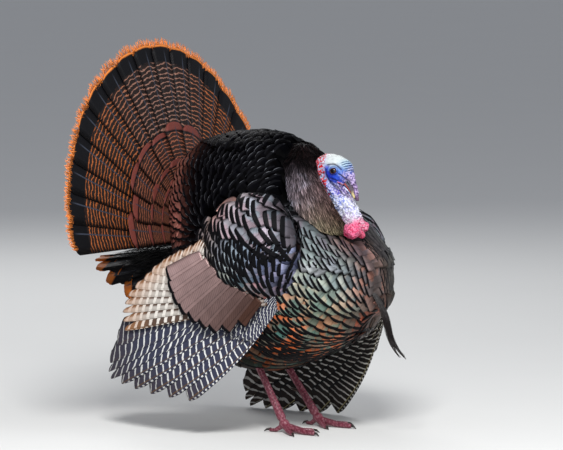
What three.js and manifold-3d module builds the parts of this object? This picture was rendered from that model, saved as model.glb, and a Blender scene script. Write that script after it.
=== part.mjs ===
// A tom wild turkey in full strut, life size, as a set of closed solids.
// Millimetres. The bird faces -Y, its left side is +X and up is +Z.
// Every shape is first laid out with the floor at z = 0 and the point midway between the feet at
// x = y = 0. The last lines move the whole group so that its origin is the bottom centre of its box.
import * as THREE from "three";
import { mergeVertices } from "three/addons/utils/BufferGeometryUtils.js";
import Module from "manifold-3d";

const wasm = await Module();
wasm.setup();

const GAP = 0.4; // clearance between neighbouring solids
const SLIVER = 0.06; // how far a corner may move as thin faces are merged
const RIGHT = -1; // sign of x on the bird's right side
const LEFT = 1;

// ---- driving dimensions -------------------------------------------------------------------------

// Horizontal sections through the puffed trunk, from belly to hump:
// height, front, rear, half width, and the y at which it is widest.
const TRUNK_SECTIONS = [
  [110, 88, 88, 0, 88],
  [119, 30, 152, 52, 90],
  [150, -58, 192, 105, 62],
  [188, -127, 224, 143, 42],
  [240, -172, 256, 176, 24],
  [310, -175, 279, 195, 10],
  [365, -149, 291, 195, 6],
  [402, -94, 296, 183, 34],
  [460, -46, 297, 156, 92],
  [520, -12, 283, 116, 118],
  [565, 4, 224, 66, 110],
  [585, 97, 97, 0, 97],
];

// The same for the ruff of feathers round the back and sides of the neck.
const RUFF_SECTIONS = [
  [362, -70, -70, 0, -70],
  [374, -112, -12, 76, -64],
  [392, -119, 2, 91, -54],
  [420, -107, 12, 93, -46],
  [452, -90, 14, 92, -40],
  [492, -64, 20, 80, -28],
  [524, -44, 30, 66, -12],
  [552, -26, 36, 42, 2],
  [566, 4, 4, 0, 4],
];

const HEAD = { centre: [0, -73, 511], half: [23, 45, 32], nod: 10 };
const EYE = { x: 16.5, y: -87, z: 512, radius: 7.5 };
const THROAT = {
  line: [[0, -48, 503], [0, -82, 470], [0, -105, 440], [0, -124, 412], [0, -128, 401]],
  radii: [24, 22, 20, 17, 15],
};
// Fleshy lumps at the foot of the bare neck: centre and radius.
const CARUNCLES = [
  [[-16, -128, 398.5], 17],
  [[10, -134, 404], 12.5],
  [[5, -134, 391], 8],
];
const UPPER_BILL = { line: [[0, -90, 503], [0, -106, 492], [0, -119, 472], [0, -123, 459]], radii: [12, 9.5, 6, 2] };
const LOWER_BILL = { line: [[0, -84, 490], [0, -99, 479], [0, -113, 465]], radii: [8, 6, 2] };
const SNOOD = {
  line: [[0, -100, 526], [0, -110, 515], [0, -117, 496], [0, -124, 475], [0, -130, 457]],
  radii: [6, 7, 6.5, 5, 3],
};
const BEARD = {
  line: [[0, -150, 300], [0, -178, 266], [0, -195, 238], [0, -206, 200], [0, -222, 174], [0, -239, 158]],
  radii: [4, 6, 8, 8, 6, 2.5],
};

const TAIL = {
  root: [0, 260, 358],
  lean: 16.6, // degrees back from upright
  turn: 5, // degrees, left side further back
  cone: 0.1, // how far the side feathers fall behind the middle ones, as a share of length
  first: 3, // degrees above level of the lowest feather's outer edge, on the left
  last: 177,
};
const RECTRICES = { count: 18, length: 413, sideLength: 388, inner: 60, out: 0, thickness: 3.4 };
const TAIL_COVERTS = { count: 12, length: 256, sideLength: 222, inner: 60, out: 7, thickness: 3.4 };
const UNDERTAIL = {
  count: 7, thickness: 9,
  root: [45, 248, 342], // half width, y and height along the middle
  tip: [94, 508, 311],
  sideBack: 104, // how far the side feathers' tips fall short of the middle one's
  sideDrop: 30,
};

// Wing feathers are laid out in side view, as [y, z] from the leading feather to the innermost one.
const PRIMARIES = {
  count: 10, out: 0, thickness: 3.5, bow: 14,
  root: [[-64, 252], [-58, 280], [-40, 300]],
  tip: [[103, 71], [190, 76], [270, 85], [328, 98], [326, 128], [290, 200]],
};
const SECONDARIES = {
  count: 9, out: 10, thickness: 3.5, bow: 0,
  root: [[-50, 262], [-10, 296], [40, 345]],
  tip: [[286, 190], [292, 232], [270, 272], [220, 312], [160, 343], [100, 372]],
};
const GREATER_COVERTS = {
  count: 8, out: 20, thickness: 3.5, bow: 0,
  root: [[-46, 268], [25, 305], [100, 356]],
  tip: [[-14, 228], [42, 207], [85, 217], [130, 241], [157, 276], [170, 320]],
};
const WING_HINGE = [-80, 275]; // the wrist, about which the wing droops
const DROOP = { [RIGHT]: 0, [LEFT]: 7 }; // degrees
const LOWERED = { [RIGHT]: 0, [LEFT]: 46 }; // how much lower the whole wing hangs
const SHOULDER = {
  [RIGHT]: { centre: [-160, 4, 366], half: [60, 114, 108], tilt: -28 },
  [LEFT]: { centre: [159, 32, 328], half: [60, 108, 102], tilt: -12 },
};

const LEG = {
  [RIGHT]: { hock: [-54, 96, 172], ankle: [-54, 6, 17] },
  [LEFT]: { hock: [66, 122, 156], ankle: [66, 14, 17] },
};
const SHANK_RADII = [9, 7.5, 7, 7.5, 9];
const TOES = [ // heading in degrees from straight ahead, towards the outside; length; radius
  { name: "middle", heading: 4, length: 74, radius: 6.2 },
  { name: "inner", heading: -36, length: 54, radius: 5.6 },
  { name: "outer", heading: 38, length: 56, radius: 5.6 },
  { name: "hind", heading: 170, length: 30, radius: 4.6 },
];
const CLAW_LENGTH = 14;
const SPUR_LENGTH = 24;

// ---- materials ----------------------------------------------------------------------------------

const paint = (color, roughness) => new THREE.MeshStandardMaterial({ color, roughness, metalness: 0 });
const PLUMAGE = paint(0x2b2420, 0.55);
const BRONZE = paint(0x7a5f50, 0.5);
const BARRED = paint(0x8d8a88, 0.6);
const FAN = paint(0x5a3020, 0.6);
const BARE_SKIN = paint(0xb9b8dd, 0.5);
const RED_SKIN = paint(0xd9607e, 0.5);
const HORN = paint(0xb59a6a, 0.4);
const LEG_SKIN = paint(0xa25064, 0.5);
const EYE_BROWN = paint(0x1c0f0a, 0.1);
const BRISTLE = paint(0x14131a, 0.7);

// ---- tools that make closed geometry --------------------------------------------------------------

const vector = ([x, y, z]) => new THREE.Vector3(x, y, z);
const radians = THREE.MathUtils.degToRad;

/** A closed surface through equal rings of points, with a fan of faces over each end. */
function shell(rings) {
  const sides = rings[0].length;
  const points = rings.flat();
  const faces = [];
  for (let ring = 0; ring < rings.length - 1; ring++)
    for (let side = 0; side < sides; side++) {
      const a = ring * sides + side;
      const b = ring * sides + ((side + 1) % sides);
      faces.push(a, b, b + sides, a, b + sides, a + sides);
    }
  for (const [ring, turn] of [[0, 1], [rings.length - 1, 0]]) {
    const middle = points.length;
    points.push(rings[ring].reduce((sum, p) => sum.add(p), new THREE.Vector3()).divideScalar(sides));
    for (let side = 0; side < sides; side++) {
      const a = ring * sides + side;
      const b = ring * sides + ((side + 1) % sides);
      faces.push(middle, turn ? b : a, turn ? a : b);
    }
  }
  return new THREE.BufferGeometry().setFromPoints(points).setIndex(faces);
}

/** A manifold-3d solid of a closed geometry, its faces turned outwards. */
function solid(geometry) {
  const bare = new THREE.BufferGeometry().setAttribute("position", geometry.getAttribute("position"));
  bare.setIndex(geometry.index);
  const merged = mergeVertices(bare, 1e-4);
  const triVerts = Uint32Array.from(merged.index.array);
  const vertProperties = merged.attributes.position.array;
  const made = new wasm.Manifold(new wasm.Mesh({ numProp: 3, vertProperties, triVerts }));
  if (made.volume() > 0) return made;
  for (let i = 0; i < triVerts.length; i += 3)
    [triVerts[i + 1], triVerts[i + 2]] = [triVerts[i + 2], triVerts[i + 1]];
  return new wasm.Manifold(new wasm.Mesh({ numProp: 3, vertProperties, triVerts }));
}

/** A smooth curve through rows of numbers: returns a function from 0..1 to a row. */
function smoothRows(rows) {
  const triples = (from) => new THREE.CatmullRomCurve3(
    rows.map((row) => new THREE.Vector3(row[from], row[from + 1] ?? 0, row[from + 2] ?? 0)));
  const [low, high] = [triples(0), triples(3)];
  return (share) => [...low.getPoint(share).toArray(), ...high.getPoint(share).toArray()];
}

/** A rounded body from a table of horizontal sections. */
function stacked(sections, sides, steps, grow = 0) {
  const at = smoothRows(sections);
  const rings = [];
  for (let step = 0; step <= steps; step++) {
    const [height, front, rear, half, widest] = at((1 - Math.cos((Math.PI * step) / steps)) / 2);
    const lift = grow * (step === 0 ? -1 : step === steps ? 1 : 0);
    const ring = [];
    for (let side = 0; side < sides; side++) {
      const angle = (2 * Math.PI * side) / sides;
      const depth = Math.cos(angle) > 0 ? widest - front : rear - widest;
      ring.push(new THREE.Vector3(
        (Math.max(half, 0.6) + grow) * Math.sin(angle),
        widest - (Math.max(depth, 0.6) + grow) * Math.cos(angle),
        height + lift,
      ));
    }
    rings.push(ring);
  }
  return solid(shell(rings));
}

/** A tube of changing radius along a line, with rounded ends. */
function tapered({ line, radii }, sides, steps, grow = 0, flatness = 1) {
  const path = new THREE.CatmullRomCurve3(line.map(vector));
  const width = new THREE.CatmullRomCurve3(radii.map((r, i) => new THREE.Vector3(i, r, 0)));
  const side = new THREE.Vector3(1, 0, 0);
  const rings = [];
  const ring = (share, scale, push) => {
    const along = path.getTangent(share);
    const across = side.clone().addScaledVector(along, -side.dot(along)).normalize();
    const other = along.clone().cross(across);
    const radius = (width.getPoint(share).y + grow) * scale;
    const centre = path.getPoint(share).addScaledVector(along, push * (width.getPoint(share).y + grow));
    rings.push(Array.from({ length: sides }, (_, i) => {
      const angle = (2 * Math.PI * i) / sides;
      return centre.clone()
        .addScaledVector(across, radius * Math.cos(angle))
        .addScaledVector(other, radius * flatness * Math.sin(angle));
    }));
  };
  ring(0, 0.5, -0.8);
  for (let step = 0; step <= steps; step++) ring(step / steps, 1, 0);
  ring(1, 0.5, 0.8);
  return solid(shell(rings));
}

/** An ellipsoid, tilted in degrees about the bird's left-right axis. */
function ellipsoid({ centre, half, tilt = 0 }, across, down, grow = 0) {
  const geometry = new THREE.SphereGeometry(1, across, down);
  geometry.scale(half[0] + grow, half[1] + grow, half[2] + grow);
  geometry.rotateX(radians(tilt));
  geometry.translate(...centre);
  return solid(geometry);
}

/**
 * A thin sheet of overlapped feathers. place(t, s, out) gives the point at share t across the sheet and
 * share s of the way from root to tip, raised by out. Each feather's outer edge stands step above the next.
 */
function featherSheet({ count, thickness }, place, { columns = 2, rows = 2, scallop = 0.05, step = 1.6 } = {}) {
  const stations = [];
  for (let feather = 0; feather < count; feather++)
    for (let column = 0; column <= columns; column++) {
      const across = column / columns;
      stations.push({
        t: (feather + across) / count,
        reach: 1 - scallop * Math.abs(2 * across - 1) ** 2,
        raise: step * (across - 0.5),
      });
    }
  // Each station is a closed outline: up the outer face from root to tip, and down the inner face.
  const outline = ({ t, reach, raise }) => {
    const faces = [0.5, -0.5].map((half) =>
      Array.from({ length: rows + 1 }, (_, row) =>
        place(t, (reach * row) / rows, raise + half * thickness)));
    return [...faces[0], ...faces[1].reverse()];
  };
  return solid(shell(stations.map(outline)));
}

const cut = (body, ...cutters) => cutters.reduce((left, cutter) => left.subtract(cutter), body);

const biggest = (body) => body.decompose().sort((a, b) => b.volume() - a.volume())[0];

/** The largest piece that a cut leaves, without the slivers along its edges. */
const largest = (body) => biggest(biggest(body).simplify(SLIVER));

const turkey = new THREE.Group();

function add(name, body, material) {
  const { numProp, vertProperties, triVerts } = body.getMesh();
  const points = [];
  for (let i = 0; i < vertProperties.length; i += numProp) points.push(...vertProperties.subarray(i, i + 3));
  const geometry = new THREE.BufferGeometry();
  geometry.setAttribute("position", new THREE.Float32BufferAttribute(points, 3));
  geometry.setIndex([...triVerts]);
  geometry.computeVertexNormals();
  const mesh = new THREE.Mesh(geometry, material);
  mesh.name = name;
  turkey.add(mesh);
}

// ---- trunk, ruff and head -------------------------------------------------------------------------

const trunk = (grow) => stacked(TRUNK_SECTIONS, 24, 14, grow);
const ruff = (grow) => stacked(RUFF_SECTIONS, 14, 6, grow);
const head = (grow) => ellipsoid({ centre: HEAD.centre, half: HEAD.half, tilt: HEAD.nod }, 14, 9, grow);
const eye = (side, grow) =>
  ellipsoid({ centre: [side * EYE.x, EYE.y, EYE.z], half: [EYE.radius, EYE.radius, EYE.radius] }, 10, 6, grow);

function throat(grow) {
  const lumps = CARUNCLES.map(([centre, radius]) =>
    ellipsoid({ centre, half: [radius, radius, radius] }, 8, 6, grow));
  return lumps.reduce((all, lump) => all.add(lump), tapered(THROAT, 10, 5, grow));
}

const trunkCutter = trunk(GAP);
const headCutter = head(GAP);
const throatCutter = throat(GAP);
const upperBill = (grow) => tapered(UPPER_BILL, 8, 4, grow);

add("trunk", trunk(0), PLUMAGE);
add("neck_ruff", largest(cut(ruff(0), trunkCutter, throatCutter, headCutter)), PLUMAGE);
add("throat", largest(cut(throat(0), headCutter, trunkCutter)), BARE_SKIN);
add("head", largest(cut(head(0), eye(RIGHT, GAP), eye(LEFT, GAP))), BARE_SKIN);
add("bill_upper", largest(cut(upperBill(0), headCutter, throatCutter)), HORN);
add("bill_lower", largest(cut(tapered(LOWER_BILL, 6, 2), headCutter, throatCutter, upperBill(GAP))), HORN);
add("snood", largest(cut(tapered(SNOOD, 6, 5), headCutter, upperBill(GAP))), RED_SKIN);
add("beard", largest(cut(tapered(BEARD, 6, 7, 0, 0.7), trunkCutter)), BRISTLE);
for (const [name, side] of [["eye_right", RIGHT], ["eye_left", LEFT]]) add(name, eye(side, 0), EYE_BROWN);

// ---- tail -----------------------------------------------------------------------------------------

const FLAT = { rows: 1 }; // straight from root to tip
const tailAcross = new THREE.Vector3(Math.cos(radians(TAIL.turn)), Math.sin(radians(TAIL.turn)), 0);
const tailUp = new THREE.Vector3(0, Math.sin(radians(TAIL.lean)), Math.cos(radians(TAIL.lean)));
const tailFace = tailAcross.clone().cross(tailUp).normalize(); // the upper side, which faces forward

/** A point of a fan: t from the lowest left feather to the lowest right one, s from root to tip. */
const fanPoint = ({ length, sideLength, inner, out }) => (t, s, raise) => {
  const angle = radians(TAIL.first + (TAIL.last - TAIL.first) * t);
  const sideways = Math.cos(angle) ** 2;
  const reach = inner + (length + (sideLength - length) * sideways - inner) * s;
  return vector(TAIL.root)
    .addScaledVector(tailAcross, reach * Math.cos(angle))
    .addScaledVector(tailUp, reach * Math.sin(angle))
    .addScaledVector(tailFace, out + raise - TAIL.cone * reach * sideways);
};

function undertailPoint(t, s, raise) {
  const q = 2 * t - 1;
  const { sideBack, sideDrop } = UNDERTAIL;
  const root = vector(UNDERTAIL.root).multiply(new THREE.Vector3(q, 1, 1));
  const tip = vector(UNDERTAIL.tip).multiply(new THREE.Vector3(q, 1, 1));
  tip.add(new THREE.Vector3(0, -sideBack * q * q, -sideDrop * q * q));
  return root.lerp(tip, s).add(new THREE.Vector3(0, 0, raise * (1.6 - s) - 0.5 * sideDrop * q * q * (1 - s)));
}

const fanCutter = featherSheet({ ...RECTRICES, thickness: RECTRICES.thickness + 6 * GAP }, fanPoint(RECTRICES), FLAT);
add("tail_fan", largest(cut(
  featherSheet(RECTRICES, fanPoint(RECTRICES), { ...FLAT, scallop: 0.03 }), trunkCutter)), FAN);
add("tail_coverts", largest(cut(featherSheet(TAIL_COVERTS, fanPoint(TAIL_COVERTS), FLAT), trunkCutter)), FAN);
add("undertail_coverts", largest(cut(featherSheet(UNDERTAIL, undertailPoint, FLAT), trunkCutter, fanCutter)), PLUMAGE);

// ---- wings ----------------------------------------------------------------------------------------

/** How far the wing stands out from the bird's midline, over the side view's y and z. */
function wingReach(y, z) {
  const tuck = Math.max(0, -60 - y);
  return 200 + 0.12 * (260 - z) - 0.0007 * (y - 150) ** 2 - 0.025 * tuck ** 2;
}

/** A feather row of one wing, from its root and tip lines in side view; bow is the leading feather's curve. */
function wingPoint({ root, tip, out, bow }, side) {
  const curve = (line) => new THREE.CatmullRomCurve3(line.map(([y, z]) => new THREE.Vector3(0, y, z)));
  const [roots, tips] = [curve(root), curve(tip)];
  const sideways = new THREE.Vector3(1, 0, 0);
  const droop = radians(-DROOP[side]);
  const hinge = new THREE.Vector3(0, ...WING_HINGE);
  return (t, s, raise) => {
    const [from, to] = [roots.getPoint(t), tips.getPoint(t)];
    const forward = to.clone().sub(from).normalize().applyAxisAngle(sideways, -Math.PI / 2);
    const p = from.lerp(to, s).addScaledVector(forward, bow * (1 - t) * Math.sin(Math.PI * s)).sub(hinge);
    p.applyAxisAngle(sideways, droop).add(hinge);
    p.z -= LOWERED[side];
    p.x = side * (wingReach(p.y, p.z) + out + raise);
    return p;
  };
}

const shoulder = (side, grow) => ellipsoid(SHOULDER[side], 14, 9, grow);

/** Keeps what is above the floor, which leaves a small flat on whatever reached it. */
function aboveFloor(body) {
  const floor = new THREE.BoxGeometry(2000, 2000, 200);
  floor.translate(0, 0, -100);
  return body.subtract(solid(floor));
}

for (const [word, side] of [["right", RIGHT], ["left", LEFT]]) {
  const pad = shoulder(side, GAP);
  const row = (feathers, options) =>
    largest(aboveFloor(cut(featherSheet(feathers, wingPoint(feathers, side), options), trunkCutter, pad)));
  add(`wing_${word}_shoulder`, largest(cut(shoulder(side, 0), trunkCutter, ruff(GAP))), PLUMAGE);
  add(`wing_${word}_coverts`, row(GREATER_COVERTS, FLAT), BRONZE);
  add(`wing_${word}_secondaries`, row(SECONDARIES), BARRED);
  add(`wing_${word}_primaries`, row(PRIMARIES, { scallop: 0.04 }), BARRED);
}

// ---- legs -----------------------------------------------------------------------------------------

function shank(side, grow) {
  const { hock, ankle } = LEG[side];
  const end = vector(ankle).lerp(vector(hock), 0.07).toArray();
  return tapered({ line: [hock, end], radii: SHANK_RADII }, 8, 3, grow);
}

/** The ball of the ankle, where the toes meet the shank. */
const ankleBall = (side, grow) => ellipsoid({ centre: LEG[side].ankle, half: [10, 11, 10] }, 10, 7, grow);

/** One toe's middle line, from the ankle out to where its claw starts. */
function toeLine(side, { heading, length, radius }) {
  const [x, y] = LEG[side].ankle;
  const turn = radians(heading) * side;
  const at = (reach, z) => [x + reach * Math.sin(turn), y - reach * Math.cos(turn), z];
  return [at(0, 14), at(length * 0.3, 10), at(length * 0.65, radius - 1), at(length, radius - 1.2)];
}

function toe(side, shape, grow) {
  const { radius } = shape;
  return tapered({ line: toeLine(side, shape), radii: [radius + 1.5, radius + 0.6, radius, radius - 0.8] }, 6, 3, grow);
}

function claw(side, shape) {
  const ends = toeLine(side, shape).map(vector);
  const end = ends[3];
  const ahead = end.clone().sub(ends[2]).setZ(0).normalize();
  const at = (reach, z) => end.clone().addScaledVector(ahead, reach).setZ(z).toArray();
  return tapered({ line: [at(0, 5.5), at(CLAW_LENGTH * 0.6, 4.4), at(CLAW_LENGTH, 0.7)], radii: [3.4, 2.5, 0.9] }, 5, 2);
}

function spur(side) {
  const { hock, ankle } = LEG[side];
  const base = vector(ankle).lerp(vector(hock), 0.36);
  const tip = base.clone().add(new THREE.Vector3(-side * 6, SPUR_LENGTH, 4));
  const middle = base.clone().lerp(tip, 0.6).add(new THREE.Vector3(0, 0, -1.5));
  return tapered({ line: [base.toArray(), middle.toArray(), tip.toArray()], radii: [4.5, 3.2, 0.9] }, 6, 2);
}

for (const [word, side] of [["right", RIGHT], ["left", LEFT]]) {
  const footOf = (grow) =>
    TOES.reduce((all, shape) => all.add(toe(side, shape, grow)), ankleBall(side, grow));
  const footCutter = footOf(GAP);
  add(`foot_${word}`, largest(aboveFloor(footOf(0))), LEG_SKIN);
  add(`shank_${word}`, largest(cut(shank(side, 0), trunkCutter, footCutter)), LEG_SKIN);
  add(`spur_${word}`, largest(cut(spur(side), shank(side, GAP))), HORN);
  for (const shape of TOES)
    add(`claw_${word}_${shape.name}`, largest(aboveFloor(cut(claw(side, shape), footCutter))), HORN);
}

// ---- the part's frame -------------------------------------------------------------------------------

const box = new THREE.Box3().setFromObject(turkey, true);
const middle = box.getCenter(new THREE.Vector3());
turkey.position.set(-middle.x, -middle.y, -box.min.z);

export default turkey;
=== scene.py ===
"""A tom wild turkey in full strut: skin, plumage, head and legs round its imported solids.

Lengths here are millimetres from a point on the floor below the bird's midline, as the bird is laid
out: it faces -Y and its left side is +X. ORIGIN carries them into the part's own frame.
"""

import math

import bpy
import numpy as np
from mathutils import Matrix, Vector
from mathutils.bvhtree import BVHTree


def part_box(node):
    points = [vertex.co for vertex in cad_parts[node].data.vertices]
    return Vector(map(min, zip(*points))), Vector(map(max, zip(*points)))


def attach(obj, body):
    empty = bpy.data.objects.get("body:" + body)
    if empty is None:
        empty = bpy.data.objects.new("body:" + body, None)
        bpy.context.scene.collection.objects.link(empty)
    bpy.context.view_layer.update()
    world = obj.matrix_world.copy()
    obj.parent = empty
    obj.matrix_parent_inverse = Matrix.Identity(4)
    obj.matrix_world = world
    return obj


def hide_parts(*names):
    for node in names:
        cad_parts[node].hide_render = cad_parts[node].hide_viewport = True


bl_info = {
    "name": "Strutting wild turkey",
    "version": (1, 0, 0),
    "blender": (4, 5, 0),
    "location": "3D View > Sidebar > Turkey",
    "description": "Dresses the solids of a strutting tom turkey with skin and plumage",
    "category": "Add Mesh",
}

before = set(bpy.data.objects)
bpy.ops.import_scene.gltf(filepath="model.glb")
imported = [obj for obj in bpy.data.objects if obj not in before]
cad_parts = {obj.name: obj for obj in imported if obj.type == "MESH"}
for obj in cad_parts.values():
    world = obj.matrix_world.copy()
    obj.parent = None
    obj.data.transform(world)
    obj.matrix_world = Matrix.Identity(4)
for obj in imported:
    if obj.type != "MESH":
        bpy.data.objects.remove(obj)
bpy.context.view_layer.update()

MM = 0.001
SIDES = (("right", -1), ("left", 1))
LEFT_EYE = (16.5, -87.0, 512.0)
eye_low, eye_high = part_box("eye_left")
ORIGIN = np.array([(a + b) / 2 - c * MM for a, b, c in zip(eye_low, eye_high, LEFT_EYE)])


# ---- geometry ---------------------------------------------------------------------------------

def unit(vectors):
    """The vectors made one long."""
    vectors = np.asarray(vectors, float)
    return vectors / np.maximum(np.linalg.norm(vectors, axis=-1, keepdims=True), 1e-9)


def smooth(low, high, value):
    """0 below low, 1 above high, and an even rise between."""
    share = np.clip((np.asarray(value, float) - low) / (high - low), 0, 1)
    return share * share * (3 - 2 * share)


def curve(rows, shares):
    """Points of a smooth curve through rows, at shares from 0 to 1 of the way along."""
    rows = np.asarray(rows, float)
    padded = np.vstack([2 * rows[0] - rows[1], rows, 2 * rows[-1] - rows[-2]])
    place = np.clip(np.asarray(shares, float), 0, 1) * (len(rows) - 1)
    left = np.minimum(place.astype(int), len(rows) - 2)
    t = (place - left)[..., None]
    a, b, c, d = (padded[left + k] for k in range(4))
    squared, cubed = 2 * a - 5 * b + 4 * c - d, 3 * b - a - 3 * c + d
    return 0.5 * (2 * b + (c - a) * t + squared * t ** 2 + cubed * t ** 3)


def turned(vectors, axis, degrees):
    """The vectors turned about a unit axis."""
    angle = np.radians(degrees)
    axis = np.asarray(axis, float)
    across = np.cross(np.broadcast_to(axis, vectors.shape), vectors)
    along = (vectors @ axis)[..., None] * axis
    return vectors * np.cos(angle) + across * np.sin(angle) + along * (1 - np.cos(angle))


def drawn(seed):
    """A seeded source of random draws."""
    return np.random.RandomState(seed)


def to_frame(points):
    """Bird millimetres as metres of the part's frame."""
    return np.asarray(points, float) * MM + ORIGIN


def from_frame(points):
    """Metres of the part's frame as bird millimetres."""
    return (np.asarray(points, float) - ORIGIN) / MM


def of_points(mesh, field):
    """The places ("co") or the normals ("normal") of a mesh's points."""
    values = np.empty(len(mesh.vertices) * 3)
    mesh.vertices.foreach_get(field, values)
    return values.reshape(-1, 3)


def places_of(obj):
    """An object's points in bird millimetres."""
    return from_frame(of_points(obj.data, "co"))


def set_points(obj, points):
    """Moves an object's points, in metres."""
    obj.data.vertices.foreach_set("co", points.ravel())
    obj.data.update()


def raise_points(obj, places, rise):
    """Moves an object's points out along their normals, from their places in bird millimetres."""
    rise = np.broadcast_to(rise, (len(places),))[:, None]
    set_points(obj, to_frame(places + of_points(obj.data, "normal") * rise))


def point_colour(mesh, name, colours):
    """Stores a colour for each vertex."""
    layer = mesh.attributes.new(name, "FLOAT_COLOR", "POINT")
    rgba = np.ones((len(mesh.vertices), 4))
    rgba[:, : colours.shape[1]] = colours
    layer.data.foreach_set("color", rgba.ravel())


def deselect():
    """Leaves nothing selected."""
    for item in bpy.context.selected_objects:
        item.select_set(False)


def only(obj):
    """Makes obj the one selected, active object."""
    deselect()
    obj.select_set(True)
    bpy.context.view_layer.objects.active = obj


def finish_piece(obj, name, material, slot, *replaced):
    """Names and smooths a piece, and puts it on the root body in place of the nodes it replaces."""
    obj.name = name
    obj.data.name = name
    obj.data.materials.clear()
    obj.data.materials.append(material)
    obj.data.polygons.foreach_set("use_smooth", np.ones(len(obj.data.polygons), bool))
    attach(obj, "root")
    if replaced:
        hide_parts(*replaced)


def node_copy(*names):
    """A joined copy of CAD nodes, its loose triangles merged."""
    copies = []
    for name in names:
        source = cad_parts[name]
        copy = bpy.data.objects.new("copy", source.data.copy())
        bpy.context.collection.objects.link(copy)
        copies.append(copy)
    only(copies[0])
    for copy in copies:
        copy.select_set(True)
    if len(copies) > 1:
        bpy.ops.object.join()
    made = bpy.context.view_layer.objects.active
    only(made)
    bpy.ops.object.mode_set(mode="EDIT")
    bpy.ops.mesh.select_all(action="SELECT")
    bpy.ops.mesh.remove_doubles(threshold=0.00002)
    bpy.ops.mesh.normals_make_consistent(inside=False)
    bpy.ops.object.mode_set(mode="OBJECT")
    for layer in list(made.data.uv_layers):
        made.data.uv_layers.remove(layer)
    return made


def make_form(*names, voxel, rounds):
    """Rebuilds CAD nodes as one even skin of small quads, then relaxes it."""
    obj = node_copy(*names)
    obj.data.remesh_voxel_size = voxel * MM
    bpy.ops.object.voxel_remesh()
    relax = obj.modifiers.new("relax", "SMOOTH")
    relax.iterations = rounds
    bpy.ops.object.modifier_apply(modifier=relax.name)
    return obj


BODY_NODES = ("trunk", "neck_ruff", "wing_right_shoulder", "wing_left_shoulder")
FORM_NODES = {"body": (BODY_NODES, 6.0), "ruff": (("neck_ruff",), 4.0)}
forms = {}


def surface(name):
    """A search tree of the faces of the body or of the ruff alone, in bird millimetres, made once."""
    if name not in forms:
        nodes, voxel = FORM_NODES[name]
        obj = make_form(*nodes, voxel=voxel, rounds=6)
        faces = [tuple(face.vertices) for face in obj.data.polygons]
        forms[name] = BVHTree.FromPolygons([tuple(place) for place in places_of(obj)], faces)
        bpy.data.objects.remove(obj)
    return forms[name]


def gap_to(name, places):
    """How far each place lies from the body or from the ruff."""
    form = surface(name)
    return np.array([form.find_nearest(Vector(place))[3] for place in places])


# ---- feathers ---------------------------------------------------------------------------------

BODY_MIDDLE = np.array([0, 70, 330])


def unwrapped(points):
    """Longitude and latitude round the body's middle, each from 0 to 1."""
    away = unit(np.asarray(points, float) - BODY_MIDDLE)
    longitude = np.arctan2(away[:, 0], -away[:, 1]) / (2 * math.pi) + 0.5
    latitude = np.arcsin(np.clip(away[:, 2], -1, 1)) / math.pi + 0.5
    return np.stack([longitude, latitude], 1) * 0.99


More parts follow.
